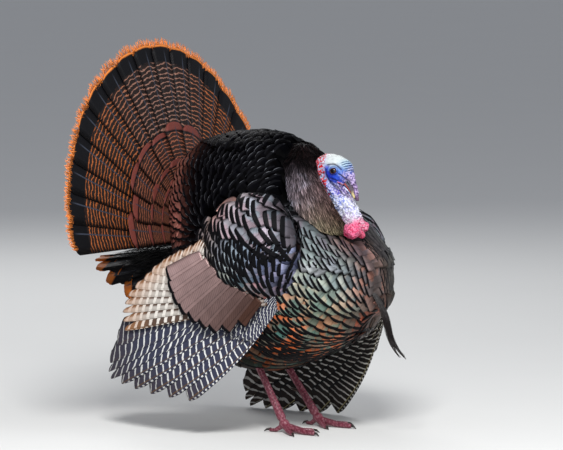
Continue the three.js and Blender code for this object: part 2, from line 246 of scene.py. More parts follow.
class Coat:
    """Gathers feathers as arrays, then joins them in one mesh.

    A feather is a row of closed rings from root to tip. Each ring runs over the upper face at the
    columns of `top` (-1 to 1 across) and back under the lower face at the columns of `under`.
    """

    def __init__(self, top=(-1, -0.5, 0, 0.5, 1), under=(0,)):
        self.across = np.array(list(top) + list(under)[::-1], float)
        self.face = np.array([1.0] * len(top) + [-1.0] * len(under))
        self.parts = []

    def add(self, line, up, left, right, *, camber=0.0, thick=0.4, drop=0.0, rachis=0.0,
            tint=(0.1, 0.1, 0.1), sheen=None, marks=(0, 0, 0), patch=None, size=(0.003, 0.003),
            shares=None, flip=False):
        """Adds feathers. line and up are (feathers, stations, 3); left and right half widths."""
        line = np.asarray(line, float)
        count, stations = line.shape[:2]
        shares = np.linspace(0, 1, stations) if shares is None else np.asarray(shares, float)
        along = unit(np.gradient(line, axis=1))
        side = unit(np.cross(along, up))
        up = np.cross(side, along)
        length = np.linalg.norm(np.diff(line, axis=1), axis=2).sum(1)[:, None, None]
        across = self.across[None, None, :]
        width = np.where(across < 0, np.asarray(left)[..., None], np.asarray(right)[..., None])
        half = np.broadcast_to(width, (count, stations, self.across.size))
        camber = np.broadcast_to(np.asarray(camber, float), (count,))[:, None, None]
        height = self.face * thick * (1 - across ** 2) - camber * across ** 2 * np.minimum(1, half / 8)
        height = height + rachis * (np.abs(across) < 0.07) * self.face * (1.1 - shares[None, :, None])
        back = length * drop * np.abs(across) ** 2.2 * shares[None, :, None] ** 3
        points = (line[:, :, None] + side[:, :, None] * (across * half)[..., None]
                  + up[:, :, None] * height[..., None] - along[:, :, None] * back[..., None])
        vane = np.empty((count, stations, self.across.size, 2))
        vane[..., 0] = shares[None, :, None]
        vane[..., 1] = across
        patch = unwrapped(line[:, 0]) if patch is None else np.asarray(patch, float)
        spot = patch[:, None, None, :] + vane * [size[0], size[1] / 2]
        if flip:
            vane[..., 1] *= -1
        colours = [np.broadcast_to(np.asarray(values, float), (count, 3))
                   for values in (tint, tint if sheen is None else sheen, marks)]
        self.parts.append((points, spot, vane, *colours))

    def finish(self, name, material, slot, *replaced):
        """Makes the joined piece, with its bake and vane maps and its colours."""
        ring = self.across.size
        loops, sizes = [], []
        start = 0
        for where, *_ in self.parts:
            grid = start + np.arange(where.size // 3).reshape(where.shape[:3])
            near, far = grid[:, :-1], grid[:, 1:]
            quads = np.stack([near, np.roll(near, -1, 2), np.roll(far, -1, 2), far], -1)
            loops += [quads.reshape(-1), grid[:, 0, ::-1].reshape(-1), grid[:, -1].reshape(-1)]
            sizes += [np.full(quads.size // 4, 4), np.full(2 * len(grid), ring)]
            start += grid.size
        loops = np.concatenate(loops).astype(np.int32)
        starts = np.concatenate([[0], np.cumsum(np.concatenate(sizes))[:-1]]).astype(np.int32)
        points, spots, vanes = (
            np.concatenate([part[k].reshape(-1, part[k].shape[-1]) for part in self.parts]) for k in range(3))
        mesh = bpy.data.meshes.new(name)
        mesh.vertices.add(len(points))
        mesh.vertices.foreach_set("co", to_frame(points).ravel())
        mesh.loops.add(len(loops))
        mesh.loops.foreach_set("vertex_index", loops)
        mesh.polygons.add(len(starts))
        mesh.polygons.foreach_set("loop_start", starts)
        mesh.update(calc_edges=True)
        for label, values in (("OFBake", spots), ("Vane", vanes)):
            mesh.uv_layers.new(name=label).data.foreach_set("uv", values[loops].ravel())
        for k, label in enumerate(("Tint", "Sheen", "Marks"), 3):
            values = [np.repeat(part[k], part[0][0].size // 3, axis=0) for part in self.parts]
            point_colour(mesh, label, np.concatenate(values))
        obj = bpy.data.objects.new(name, mesh)
        bpy.context.collection.objects.link(obj)
        finish_piece(obj, name, material, slot, *replaced)


def walk(form, seeds, headings, lengths, shares, depth, lift):
    """Lines that lie along the form: each starts under it near its seed and rises to its tip.

    Returns points and surface normals, both (feathers, stations, 3), at the given shares of length.
    """
    shares = np.asarray(shares, float)
    lines = np.empty((len(seeds), len(shares), 3))
    normals = np.empty_like(lines)
    for i, (seed, heading, length) in enumerate(zip(seeds, headings, lengths)):
        place, normal, _, _ = form.find_nearest(Vector(seed))
        heading = Vector(heading)
        for k in range(len(shares)):
            lines[i, k] = place
            normals[i, k] = normal
            heading = (heading - normal * heading.dot(normal)).normalized()
            if k + 1 < len(shares):
                step = length * (shares[k + 1] - shares[k])
                place, fresh, _, _ = form.find_nearest(place + heading * step)
                normal = (normal * 0.4 + fresh * 0.6).normalized()
    share = shares[None, :, None]
    depth = np.broadcast_to(np.asarray(depth, float), (len(seeds),))[:, None, None]
    lift = np.broadcast_to(np.asarray(lift, float), (len(seeds),))[:, None, None]
    lines += normals * (lift * share ** 2 - depth * (1 - share) ** 1.4)
    return lines, normals


def pole_frame(pole, zero, turn):
    """The pole, the zero direction square to it, and the direction angles grow towards."""
    pole = unit(pole)
    zero = unit(np.asarray(zero, float) - np.dot(zero, pole) * pole)
    return pole, zero, np.cross(pole, zero) * turn


def pole_rows(form, centre, pole, zero, angles, tilts, rng, turn=1, bend=0.0, both=False):
    """Staggered seeds on the form, in rows that meet at a pole like the ribs of a melon.

    angles and tilts are first, last and step in degrees, round the pole from zero and away from it.
    Rows thin out towards the pole and curve back by bend degrees for each squared radian of tilt, and
    with both they curve towards zero from either side. Returns each seed's place and the direction
    square to its row.
    """
    pole, zero, side = pole_frame(pole, zero, turn)
    count = max(1, round(abs(angles[1] - angles[0]) / angles[2]))
    span = max(1, round((tilts[1] - tilts[0]) / tilts[2]))
    step, lean = math.radians(angles[1] - angles[0]) / count, math.radians(tilts[1] - tilts[0]) / span
    found = []
    for j in range(count):
        for k in range(span):
            start = math.radians(angles[0]) + (j + rng.uniform(-0.06, 0.06)) * step
            tilt = math.radians(tilts[0]) + k * lean
            share = math.sin(tilt)
            level = 1 if share > 0.62 else 2 if share > 0.31 else 4
            if j % level:
                continue
            tilt += ((j // level) % 2) * lean / 2 + rng.uniform(-0.1, 0.1) * lean
            back = math.radians(bend) * (math.sin(start) / max(0.3, abs(math.sin(start))) if both else 1)
            angle = start - back * tilt ** 2
            spoke = math.cos(angle) * zero + math.sin(angle) * side
            ray = math.cos(tilt) * pole + math.sin(tilt) * spoke
            hit, _, _, _ = form.ray_cast(Vector(centre), Vector(ray))
            if hit is not None:
                around = -math.sin(angle) * zero + math.cos(angle) * side
                outward = math.cos(tilt) * spoke - math.sin(tilt) * pole
                found.append((*hit, *unit(around + 2 * back * tilt * share * outward)))
    return np.array(found)


# ---- shader graphs ------------------------------------------------------------------------------

class Value:
    """A number socket with arithmetic."""

    def __init__(self, graph, socket):
        self.graph = graph
        self.socket = socket

    def _math(self, operation, *others):
        return self.graph.node("ShaderNodeMath", {"operation": operation}, *others)

    def __add__(self, other):
        return self._math("ADD", self, other)

    def __sub__(self, other):
        return self._math("SUBTRACT", self, other)

    def __rsub__(self, other):
        return self._math("SUBTRACT", other, self)

    def __mul__(self, other):
        return self._math("MULTIPLY", self, other)

    def __truediv__(self, other):
        return self._math("DIVIDE", self, other)

    def __abs__(self):
        return self._math("ABSOLUTE", self)

    def sin(self):
        return self._math("SINE", self)

    def smooth(self, low, high):
        """0 at low and 1 at high, with an even rise between; low may be the greater."""
        settings = {"interpolation_type": "SMOOTHSTEP", "clamp": True}
        return self.graph.node("ShaderNodeMapRange", settings, self, low, high, 0.0, 1.0)

    __radd__ = __add__
    __rmul__ = __mul__


class Graph:
    """The nodes of one Principled material."""

    def __init__(self, name, **constants):
        self.material = bpy.data.materials.new(name)
        self.material.use_nodes = True
        self.tree = self.material.node_tree
        self.shader = self.tree.nodes["Principled BSDF"]
        for socket, value in constants.items():
            self.shader.inputs[socket.replace("_", " ")].default_value = value

    def node(self, kind, settings, *inputs, output=0, **named):
        """Adds a node: its settings first, then its inputs by order and by name."""
        made = self.tree.nodes.new(kind)
        for key, value in settings.items():
            setattr(made, key, value)
        pairs = list(zip(made.inputs, inputs))
        pairs += [(made.inputs[key.replace("_", " ")], value) for key, value in named.items()]
        for socket, value in pairs:
            if isinstance(value, Value):
                self.tree.links.new(value.socket, socket)
            elif value is not None:
                socket.default_value = value
        return Value(self, made.outputs[output])

    def attribute(self, name, output="Color"):
        """What the piece stores under a name for each of its points."""
        return self.node("ShaderNodeAttribute", {"attribute_name": name}, output=output)

    def parts(self, vector):
        """The three numbers of a vector."""
        first = self.node("ShaderNodeSeparateXYZ", {}, vector)
        return [Value(self, socket) for socket in first.socket.node.outputs]

    def vane(self):
        """Share from root to tip, and place across from -1 to 1."""
        return self.parts(self.node("ShaderNodeUVMap", {"uv_map": "Vane"}))[:2]

    def place(self):
        """Where a point lies, in metres."""
        return self.node("ShaderNodeTexCoord", {}, output="Object")

    def noise(self, scale, detail=2.0):
        """Cloudy noise from about 0 to 1; scale is the number of clouds to a metre."""
        return self.node("ShaderNodeTexNoise", {}, self.place(), None, scale, detail)

    def mix(self, share, *colours):
        """A colour between two: the node takes them as its seventh and eighth inputs."""
        ends = [end if isinstance(end, Value) else (*end, 1) for end in colours]
        return self.node("ShaderNodeMix", {"data_type": "RGBA"}, share, *[None] * 5, *ends, output=2)

    def scaled(self, colour, amount):
        """A colour made darker or lighter."""
        return self.node("ShaderNodeVectorMath", {"operation": "SCALE"}, colour, Scale=amount)

    def set(self, **links):
        """Feeds the shader's sockets."""
        for socket, value in links.items():
            self.tree.links.new(value.socket, self.shader.inputs[socket.replace("_", " ")])

    def bump(self, height, distance, strength):
        """Raises the surface in shading only."""
        self.set(Normal=self.node("ShaderNodeBump", {}, strength, distance, Height=height))


def colour(red, green, blue):
    """The linear colour of an sRGB one given from 0 to 255."""
    return tuple((v / 255) ** 2.2 for v in (red, green, blue))


def mirrored(points):
    """The points with those right of the midline moved across it."""
    return np.abs(points * [1, 0, 0]) + points * [0, 1, 1]


def blended(points, table):
    """Values at points, blended from rows of a place, its reach and its values, alike on both sides."""
    places = mirrored(points)
    total = np.zeros((len(points), 1))
    made = 0
    for place, reach, values in table:
        weight = np.exp(-((places - place) ** 2).sum(1, keepdims=True) / (2 * reach ** 2)) + 1e-12
        total += weight
        made = made + weight * np.asarray(values, float)
    return made / total


# ---- plumage of the body ------------------------------------------------------------------------

def coat_table(*rows):
    """Rows of a place, its reach, the vane's own colour, its colour near the tip, and up to three marks.

    The marks are the shares of the vane's length under the black band and the pale rim, and the
    rim's paleness; those left out are 0.
    """
    return [(place, reach, (*colour(*tint), *colour(*sheen), *(*marks, 0, 0)[:3]))
            for place, reach, tint, sheen, *marks in rows]


# The tones of breast and belly, of the sides and rump, and of the back.
COAT = coat_table(
    ((14, -130, 370), 26, (104, 84, 86), (140, 96, 84), 0.09),
    ((26, -150, 300), 24, (104, 88, 84), (164, 90, 64), 0.10),
    ((110, -120, 350), 40, (142, 132, 142), (138, 150, 154), 0.11),
    ((64, -140, 320), 34, (98, 112, 122), (134, 150, 150), 0.11),
    ((110, -120, 290), 40, (112, 138, 124), (150, 162, 136), 0.13),
    ((90, -140, 240), 35, (100, 124, 108), (156, 112, 86), 0.15),
    ((30, -155, 220), 26, (100, 66, 62), (160, 80, 60), 0.15),
    ((140, -80, 230), 40, (84, 120, 114), (214, 100, 46), 0.15),
    ((120, -60, 170), 40, (76, 112, 104), (206, 96, 42), 0.16),
    ((50, -90, 150), 40, (78, 104, 96), (186, 92, 48), 0.16),
    ((60, 0, 110), 50, (58, 76, 68), (136, 72, 38), 0.17),
    ((60, 140, 120), 50, (20, 17, 16), (30, 22, 18), 0.18),
    ((150, 120, 220), 60, (34, 27, 24), (44, 32, 26), 0.15, 0.02, 0.2),
    ((80, 240, 260), 60, (22, 17, 16), (34, 24, 20), 0.15, 0.02, 0.2),
    ((100, 40, 540), 60, (8, 7, 8), (10, 10, 14), 0.12, 0.020, 0.35),
    ((60, 180, 560), 70, (8, 7, 8), (11, 10, 12), 0.12, 0.020, 0.3),
    ((110, 245, 430), 30, (150, 92, 84), (176, 118, 106), 0.10),
    ((70, 255, 510), 30, (150, 92, 82), (176, 118, 102), 0.10),
    ((150, 60, 450), 50, (8, 7, 8), (12, 12, 16), 0.12, 0.020, 0.3),
)
# The scapulars' black bands take in painted shade between the rows as well as the feathers' own black.
SCAPULARS = coat_table(
    ((175, 60, 450), 36, (184, 150, 150), (178, 124, 106), 0.15),
    ((175, 107, 390), 36, (186, 156, 158), (184, 124, 100), 0.15),
    ((200, 0, 430), 36, (168, 146, 156), (166, 170, 180), 0.16),
    ((180, -60, 410), 36, (120, 108, 116), (104, 116, 124), 0.19),
    ((150, -90, 430), 26, (52, 48, 52), (70, 68, 76), 0.22),
)
LESSER_COVERTS = coat_table(
    ((205, 70, 370), 36, (132, 122, 126), (128, 110, 104), 0.17),
    ((215, 0, 350), 36, (84, 98, 116), (150, 166, 180), 0.19),
    ((190, -70, 320), 30, (76, 80, 108), (136, 142, 172), 0.20),
    ((215, 90, 310), 30, (150, 156, 146), (172, 160, 132), 0.15),
    ((220, 20, 290), 30, (112, 136, 138), (166, 172, 144), 0.16),
    ((200, -40, 270), 30, (96, 112, 104), (206, 106, 52), 0.17),
)

# A body feather's columns across, its stations from root to tip and its width at each.
BODY_TOP = (-1, -0.7, -0.35, 0, 0.35, 0.7, 1)
BODY_SHARES = np.array([0.0, 0.18, 0.36, 0.54, 0.70, 0.83, 0.92, 0.975, 1.0])
BODY_PROFILE = np.array([0.28, 0.66, 0.90, 1.0, 1.0, 0.99, 0.96, 0.90, 0.78])
ROOT_DEPTH = 7.0

# The breast's left half is plain and darker from just left of the keel to where its side turns away: painted
# shade.
FAR_BREAST_SHADE = np.array((*colour(64, 58, 56), *colour(82, 74, 68), 0.06, 0, 0))
FAR_SHADE_FROM, FAR_SHADE_TO = (4, 26), (150, 95)


def lay_patch(coat, seed, centre, pole, zero, angles, tilts, keep, *, breast=False, reach=190, turn=1,
              bend=0.0, finish=COAT, gap=12.0, width=25.0, length=44.0, curl=1.0, drop=0.05, trim=None):
    """Adds rows of body feathers over one part of the body, all pointing round a pole.

    gap and width are the distances between feathers and between rows, at `reach` from the centre.
    keep says which places belong to the patch. With trim, so do the tips: they stay within that
    distance of the shoulder and below the line of the back. On the breast, both halves point outwards.
    """
    rng = drawn(seed)
    angles = (*angles, math.degrees(gap / reach))
    tilts = (*tilts, math.degrees(width / reach))
    found = pole_rows(surface("body"), centre, pole, zero, angles, tilts, rng, turn, bend, breast)
    found = found[keep(found[:, :3])]
    places, heading = found[:, :3], found[:, 3:]
    if breast:
        heading = heading * np.where(places[:, :1] > 0, -1, 1)
    heading = unit(heading + rng.normal(0, 0.03, places.shape))
    lengths = length * rng.uniform(0.97, 1.03, len(places))
    seeds = places - heading * lengths[:, None] * 0.5
    line, normals = walk(surface("body"), seeds, heading, lengths, BODY_SHARES, ROOT_DEPTH,
                         curl + rng.uniform(-0.6, 1.0, len(places)))
    if trim:
        tips = line[:, -1]
        held = in_shoulder(tips, trim) & (tips[:, 1] * 0.5 + tips[:, 2] < 484)
        places, line, normals = places[held], line[held], normals[held]
    values = blended(places, finish)
    shade = rng.uniform(0.7, 1.2, (len(places), 1))
    if breast:
        # The far half of the breast: painted shade, plain and darker.
        far = 0.8 * smooth(*FAR_SHADE_FROM, places[:, :1]) * smooth(*FAR_SHADE_TO, places[:, :1])
        # Painted shadow under the ruff's hem: the breast darkens close to the ruff.
        ruff_shadow = 0.12 + 0.88 * smooth(5, 17, gap_to("ruff", places)[:, None])
        shade *= (1 - 0.4 * far) * ruff_shadow
        values = values * (1 - far) + FAR_BREAST_SHADE * far
    share = rng.uniform(0, 0.6, (len(places), 1)) ** 1.5
    tint = values[:, :3] * (1 - share) + values[:, 3:6] * share
    half = width * 0.74 * rng.uniform(0.92, 1.08, (len(places), 1)) * BODY_PROFILE
    coat.add(line, normals, half, half, camber=rng.uniform(0.8, 2.0, len(places)), thick=0.35, drop=drop,
             tint=tint * shade, sheen=values[:, 3:6] * shade, marks=values[:, 6:9], shares=BODY_SHARES)


# The middle and half sizes of each shoulder, its tilt in degrees, where the scapulars' rows meet and
# where the lesser coverts' rows meet.
SHOULDERS = {
    -1: ((-160, 4, 366), (60, 114, 108), 28, (-159, -106, 361), (-155, -81, 250)),
    1: ((159, 32, 328), (60, 108, 102), 12, (159, -74, 328), (155, -49, 217)),
}


def in_shoulder(places, grow=4.0):
    """True where a place lies in either shoulder, grown by some millimetres."""
    inside = np.zeros(len(places), bool)
    for centre, half, tilt, _, _ in SHOULDERS.values():
        away = turned(places - np.array(centre, float), (1, 0, 0), tilt)
        inside |= ((away / (np.array(half) + grow)) ** 2).sum(1) < 1
    return inside


def bare_of_ruff(places):
    """True where a place is clear of the ruff, the bare neck and the head."""
    throat, _ = along_line(places, THROAT_LINE, THROAT_RADII)
    return (gap_to("ruff", places) > 4) & (throat > -6) & (from_head(places) > 1)


def on_back(places):
    """True on the back and rump, false on the breast and belly."""
    behind = places[:, 1] > 10 - 0.35 * (places[:, 2] - 400)
    return behind & (places[:, 2] > 300) | (places[:, 1] > 150)


def on_body(places):
    """True where the body's own feathers grow."""
    return ~in_shoulder(places) & bare_of_ruff(places)


def lay_shoulder(coat, side):
    """Lays lesser coverts below and scapulars above, each in rows that fan out from the front."""
    (_, y, z), _, _, bend, low = SHOULDERS[side]
    middle = np.array([side * 70, y, z], float)
    pole, zero, across = pole_frame(np.array(bend) - middle, (0, 0, 1), -side)

    def between(first, last):
        """Says whether places lie at an angle from first to last round the upper pole."""
        def keep(places):
            away = places - middle
            angle = np.degrees(np.arctan2(away @ across, away @ zero))
            wanted = (angle > first) & (angle < last)
            return in_shoulder(places, 9) & (places[:, 0] * side > 60) & bare_of_ruff(places) & wanted
        return keep

    alike = {"reach": 140, "turn": -side, "drop": 0.03}
    lay_patch(coat, 21 + 2 * side, middle, np.array(low) - middle, zero, (-10, 170), (8, 130),
              between(72, 260), finish=LESSER_COVERTS, gap=12, width=19, length=40, curl=1.5, bend=20,
              trim=20, **alike)
    lay_patch(coat, 22 + 2 * side, middle, pole, zero, (-20, 125), (8, 128),
              between(-60, 76), finish=SCAPULARS, gap=18, width=28, length=48, curl=2.5, bend=30,
              trim=15, **alike)


# ---- large feathers -----------------------------------------------------------------------------

# The fan's root, its lean back and its turn, how much it is cupped, and the angles it spreads between.
TAIL_ROOT = np.array([0, 260, 358], float)
TAIL_LEAN, TAIL_TURN, TAIL_CONE = math.radians(16.6), math.radians(5), 0.1
TAIL_FIRST, TAIL_LAST = 3, 177
TAIL_ACROSS = np.array([math.cos(TAIL_TURN), math.sin(TAIL_TURN), 0])
TAIL_UP = np.array([0, math.sin(TAIL_LEAN), math.cos(TAIL_LEAN)])
TAIL_FACE = unit(np.cross(TAIL_ACROSS, TAIL_UP))


def fan(length, side_length, inner=60, out=0):
    """The place, in the spread tail, at share t from right to left and share s from root to tip."""
    def place(t, s, raised):
        angle = np.radians(TAIL_FIRST + (TAIL_LAST - TAIL_FIRST) * (1 - t))
        sideways = np.cos(angle) ** 2
        reach = inner + (length + (side_length - length) * sideways - inner) * s
        face = out + raised - TAIL_CONE * reach * sideways
        flat = (reach * np.cos(angle))[..., None] * TAIL_ACROSS + (reach * np.sin(angle))[..., None] * TAIL_UP
        return TAIL_ROOT + flat + face[..., None] * TAIL_FACE
    return place


def wing_reach(y, z):
    """How far a lowered wing stands off the midline: it bulges at its middle and tucks in at the front."""
    tuck = np.maximum(0, -60 - y)
    return 200 + 0.12 * (260 - z) - 0.0007 * (y - 150) ** 2 - 0.025 * tuck ** 2


# The right wing is laid out; the left one hangs lower, turned down about the hinge.
WING_HINGE = np.array([-80, 275], float)
DROOP = {-1: 0.0, 1: 7.0}
LOWERED = {-1: 0.0, 1: 46.0}


def wing(root, tip, out, bow, side):
    """The place, in a lowered wing, at share t from its leading feather and share s along it.

    root and tip are curves of (y, z); bow is how far the leading feather curves forwards.
    """
    def place(t, s, raised):
        t, s, raised = np.broadcast_arrays(t, s, raised)
        start, end = curve(root, t), curve(tip, t)
        along = unit(end - start)
        forward = np.stack([along[..., 1], -along[..., 0]], -1)
        flat = start + (end - start) * s[..., None] + forward * (bow * (1 - t) * np.sin(np.pi * s))[..., None]
        droop = math.radians(-DROOP[side])
        flat = flat - WING_HINGE
        y = flat[..., 0] * math.cos(droop) - flat[..., 1] * math.sin(droop) + WING_HINGE[0]
        z = flat[..., 1] * math.cos(droop) + flat[..., 0] * math.sin(droop) + WING_HINGE[1] - LOWERED[side]
        return np.stack([side * (wing_reach(y, z) + out + raised), y, z], -1)
    return place


PRIMARY_ROOT = ((-64, 252), (-58, 280), (-40, 300))
PRIMARY_TIP = ((103, 71), (190, 76), (270, 85), (328, 98), (326, 128), (290, 200))
SECONDARY_ROOT = ((-50, 262), (-10, 296), (40, 345))
SECONDARY_TIP = ((286, 190), (292, 232), (270, 272), (220, 312), (160, 343), (100, 372))
COVERT_ROOT = ((-46, 268), (25, 305), (100, 356))
COVERT_TIP = ((-14, 228), (42, 207), (85, 217), (130, 241), (157, 276), (170, 320))


# A large feather's columns across its upper face: two close ones carry its shaft.
LARGE_TOP = (-1, -0.6, -0.25, -0.06, 0.06, 0.25, 0.6, 1)
SHAFT_HEIGHT, VANE_THICKNESS = 0.5, 0.5


def blades(coat, place, count, facing, marks, *, reach=(0.0, 1.0), raised=0.0, overlap=1.4, lean=0.0,
           root=0.6, blunt=0.5, drop=0.02, camber=0.6, stations=26, seed=1, round_from=0.86, shaft=0.5,
           ragged=0.008, tint=(0.5, 0.5, 0.5), sheen=None, cell=(0, 1)):
    """Adds long feathers side by side where place() puts them, each on a strip of its own bake map.

    reach is the part of place() that they run over, less a random share that ragged gives. root and
    blunt are the widths at the root and at the tip, which rounds off past round_from. shaft is where
    the shaft runs across the vane, and cell is the part of the bake map that they share.
    """
    rng = drawn(seed)
    shares = 1 - (1 - np.linspace(0, 1, stations)) ** 1.35
    step = 1 / count
    t = ((np.arange(count) + 0.5) * step)[:, None]
    raised = np.broadcast_to(np.asarray(raised, float), (count,))[:, None]
    start, end = reach
    end = end - np.abs(rng.normal(0, ragged, (count, 1)))
    s = start + (end - start) * shares[None, :]
    line, before, after = (place(t + offset * step, s, raised + 0 * s) for offset in (shaft - 0.5, -0.5, 0.5))
    rounding = 1 - (1 - blunt) * smooth(round_from, 1.0, shares) ** 1.6
    taper = (root + (1 - root) * smooth(0, 0.3, shares)) * rounding
    lead = np.linalg.norm(line - before, axis=2) * taper * (1 if shaft < 0.4 else overlap)
    trail = np.linalg.norm(after - line, axis=2) * taper * overlap
    along = unit(np.gradient(line, axis=1))
    up = unit(np.cross(after - before, along))
    up = up * np.sign((up * np.asarray(facing, float)).sum(-1, keepdims=True))
    tilt = math.radians(lean)
    up = up * math.cos(tilt) + np.cross(along, up) * math.sin(tilt)
    flip = (np.cross(along, up) * (after - before)).sum() < 0
    left, right = (trail, lead) if flip else (lead, trail)
    span = cell[1] - cell[0]
    patch = np.stack([np.full(count, 0.01), cell[0] + (np.arange(count) + 0.5) / count * span], 1)
    coat.add(line, up, left, right, camber=camber, thick=VANE_THICKNESS, drop=drop, rachis=SHAFT_HEIGHT,
             tint=tint, sheen=sheen, marks=marks, patch=patch, size=(0.97, 0.94 * span / count),
             shares=shares, flip=flip)


# ---- materials ------------------------------------------------------------------------------------

def plumage_material(name, rim=(0.45, 0.47, 0.52), shine=0.45, roughness=0.42, patches=0.9, gloss=1.12,
                     painted_root_shade=0.5):
    """Body feathers: a tinted vane, a velvety black band near the tip, and a pale rim.

    Marks hold the shares of the length under the band and the rim, and the rim's paleness. patches is
    how far the sheen covers the tint, and shaded how dark the vane gets towards its root: painted shade
    where the vane lies under the feather above, with a painted highlight towards the band.
    """
    graph = Graph(name, Roughness=roughness, IOR=gloss)
    along, across = graph.vane()
    band, edge, pale = graph.parts(graph.attribute("Marks"))
    barbs = (along * 90 + abs(across) * 26).sin() * 0.5 + 0.5
    mottle = graph.noise(55.0, 3.0)
    sheen = (across * 0.12 + graph.noise(34.0)).smooth(0.46, 0.60) * patches
    vane = graph.mix(sheen, graph.attribute("Tint"), graph.attribute("Sheen"))
    # Painted shade towards the root, under the feather above, and a painted highlight towards the band.
    root_shade = 1.15 - along.smooth(0.84, 0.56) * painted_root_shade
    vane = graph.scaled(vane, (0.62 + barbs * 0.3 + mottle * 0.5) * root_shade)
    shaft = abs(across).smooth(0.10, 0.02) * 0.5
    vane = graph.mix(shaft, vane, graph.scaled(vane, 0.35))
    inset = 1 - along + graph.noise(240.0, 1.0) * 0.02 - 0.01
    dark = inset.smooth(band * 1.12, band * 0.9)
    tip = inset.smooth(edge * 1.4, edge * 0.5)
    made = graph.mix(dark, vane, (0.004, 0.004, 0.005))
    made = graph.mix(tip * pale * graph.noise(60.0, 1.0).smooth(0.44, 0.56), made, rim)
    graph.set(Base_Color=made, Metallic=(1 - dark) * shine)
    graph.bump(barbs, 0.0003, 0.5)
    return graph.material


def barred_material(name, dark, light, width, notch=None, wave=1.0, slant=0.2, shaft_tone=(0.10, 0.055, 0.02),
                    edged=0.0):
    """Flight feathers: wavy pale bars across a dark vane, and notches along its narrow leading edge.

    Marks hold the number of bars, a random share and the strength of the notches; Tint washes the far
    end. width is the dark part of a bar, wave its unevenness. edged keeps the dark to the broad edge.
    """
    graph = Graph(name, Roughness=0.45, IOR=1.2)
    along, across = graph.vane()
    count, draw, notched = graph.parts(graph.attribute("Marks"))
    wobble = graph.noise(45.0) - 0.5
    fine = graph.noise(260.0, 1.0) - 0.5
    turns = 2 * math.pi
    broad = ((along * count + across * slant + wobble * wave + fine * 0.12 + draw) * turns).sin()
    lit = broad.smooth(width, width + 0.25)
    ahead = across.smooth(-0.02, -0.10) * notched
    notches = ((along * count * 1.4 + across * 0.25 + fine * 0.2 + draw) * turns).sin().smooth(0.1, 0.4)
    lit = lit * (1 - ahead) + notches * ahead * across.smooth(-0.25, -0.4)
    lit = 1 - (1 - lit) * (1 - edged * (1 - notched) * across.smooth(0.62, 0.30))
    made = graph.mix(lit, dark, light)
    made = graph.mix(along.smooth(0.30, 0.12) * (edged * 1.2), made, dark)
    made = graph.mix(along.smooth(0.72, 1.0) * 0.5, made, graph.attribute("Tint"))
    if notch:
        made = graph.mix(across.smooth(-0.75, -0.95), made, notch)
    barbs = (along * 420 + abs(across) * 60).sin() * 0.5 + 0.5
    made = graph.scaled(made, 0.85 + barbs * 0.2 + graph.noise(40.0) * 0.2)
    shaft = abs(across).smooth(0.05, 0.02)
    made = graph.mix(shaft * (0.25 + notched * 0.75), made, shaft_tone)
    # A dark line along both edges of the vane, stronger on notched feathers: painted shade along the overlaps
    # and outlines.
    edge = abs(across).smooth(0.86, 0.96) * (0.55 + notched * 0.45)
    made = graph.mix(edge, made, (0.01, 0.01, 0.012))
    graph.set(Base_Color=made)
    graph.bump(barbs, 0.0003, 0.4)
    return graph.material


def tail_material(name, ground, bar, tip, band, spacing, tip_share=None):
    """Tail feathers: thin wavy bars, a black band, and a rusty tip.

    Marks hold the band's share of the length, a random share and how grey the bars are. Without a
    tip_share, the last is the share of the rusty tip instead.
    """
    graph = Graph(name, Roughness=0.5, IOR=1.2)
    along, across = graph.vane()
    broad, draw, greyed = graph.parts(graph.attribute("Marks"))
    wobble = graph.noise(60.0, 3.0) - 0.5
    fine = graph.noise(300.0, 1.0) - 0.5
    phase = along / spacing + abs(across) * 0.5 + wobble * 1.5 + fine * 0.35 + draw * 5
    bars = (phase * (2 * math.pi)).sin().smooth(0.58, 0.95)
    made = graph.mix(bars, ground, graph.mix(greyed * 0.75, bar, (0.20, 0.13, 0.11)) if tip_share else bar)
    made = graph.mix(along.smooth(0.30, 0.02) * 0.6, made, ground)
    inset = 1 - along + wobble * 0.012
    dark = inset.smooth(broad + 0.012, broad - 0.004)
    made = graph.mix(dark, made, band)
    if tip_share:
        rusty = inset.smooth(tip_share + 0.006, tip_share - 0.006)
    else:
        rusty = inset.smooth(greyed * 1.15, greyed * 0.85)
    made = graph.mix(rusty, made, tip)
    # A dark line along both long edges, short of the rusty tip: painted shade where the feathers overlap.
    made = graph.mix(abs(across).smooth(0.80, 0.97) * (1 - rusty) * 0.8, made, (0.006, 0.005, 0.006))
    shaft = abs(across).smooth(0.05, 0.02)
    made = graph.mix(shaft * (1 - along.smooth(0.9, 0.98)), made, (0.03, 0.035, 0.05))
    barbs = (along * 380 + abs(across) * 60).sin() * 0.5 + 0.5
    made = graph.scaled(made, 0.82 + barbs * 0.2 + graph.noise(25.0) * 0.25)
    graph.set(Base_Color=made)
    graph.bump(barbs, 0.0003, 0.4)
    return graph.material


def painted_material(name, roughness):
    """A surface in its painted tone, finely pored."""
    graph = Graph(name, Roughness=roughness, Specular_IOR_Level=0.45)
    pores = graph.noise(900.0)
    graph.set(Base_Color=graph.scaled(graph.attribute("Tone"), 0.70 + pores * 0.26))
    graph.bump(pores, 0.0005, 0.5)
    return graph.material


def horn_material(name, base, tip_tone, high, low):
    """Claws and spurs: a colour that turns to another between two heights."""
    graph = Graph(name, Roughness=0.32, Specular_IOR_Level=0.5)
    streaks = graph.noise(500.0)
    height = graph.parts(graph.place())[2]
    made = graph.mix(height.smooth(high * MM, low * MM), base, tip_tone)
    graph.set(Base_Color=graph.scaled(made, 0.8 + streaks * 0.4))
    graph.bump(streaks, 0.0003, 0.3)
    return graph.material


def hair_material(name, roughness):
    """Bristles, barbs and down: one tone that lightens along the strand."""
    graph = Graph(name, Roughness=roughness, Specular_IOR_Level=0.4)
    along, _ = graph.vane()
    graph.set(Base_Color=graph.scaled(graph.attribute("Tint"), 0.6 + graph.noise(300.0) * 0.6 + along * 0.2))
    return graph.material


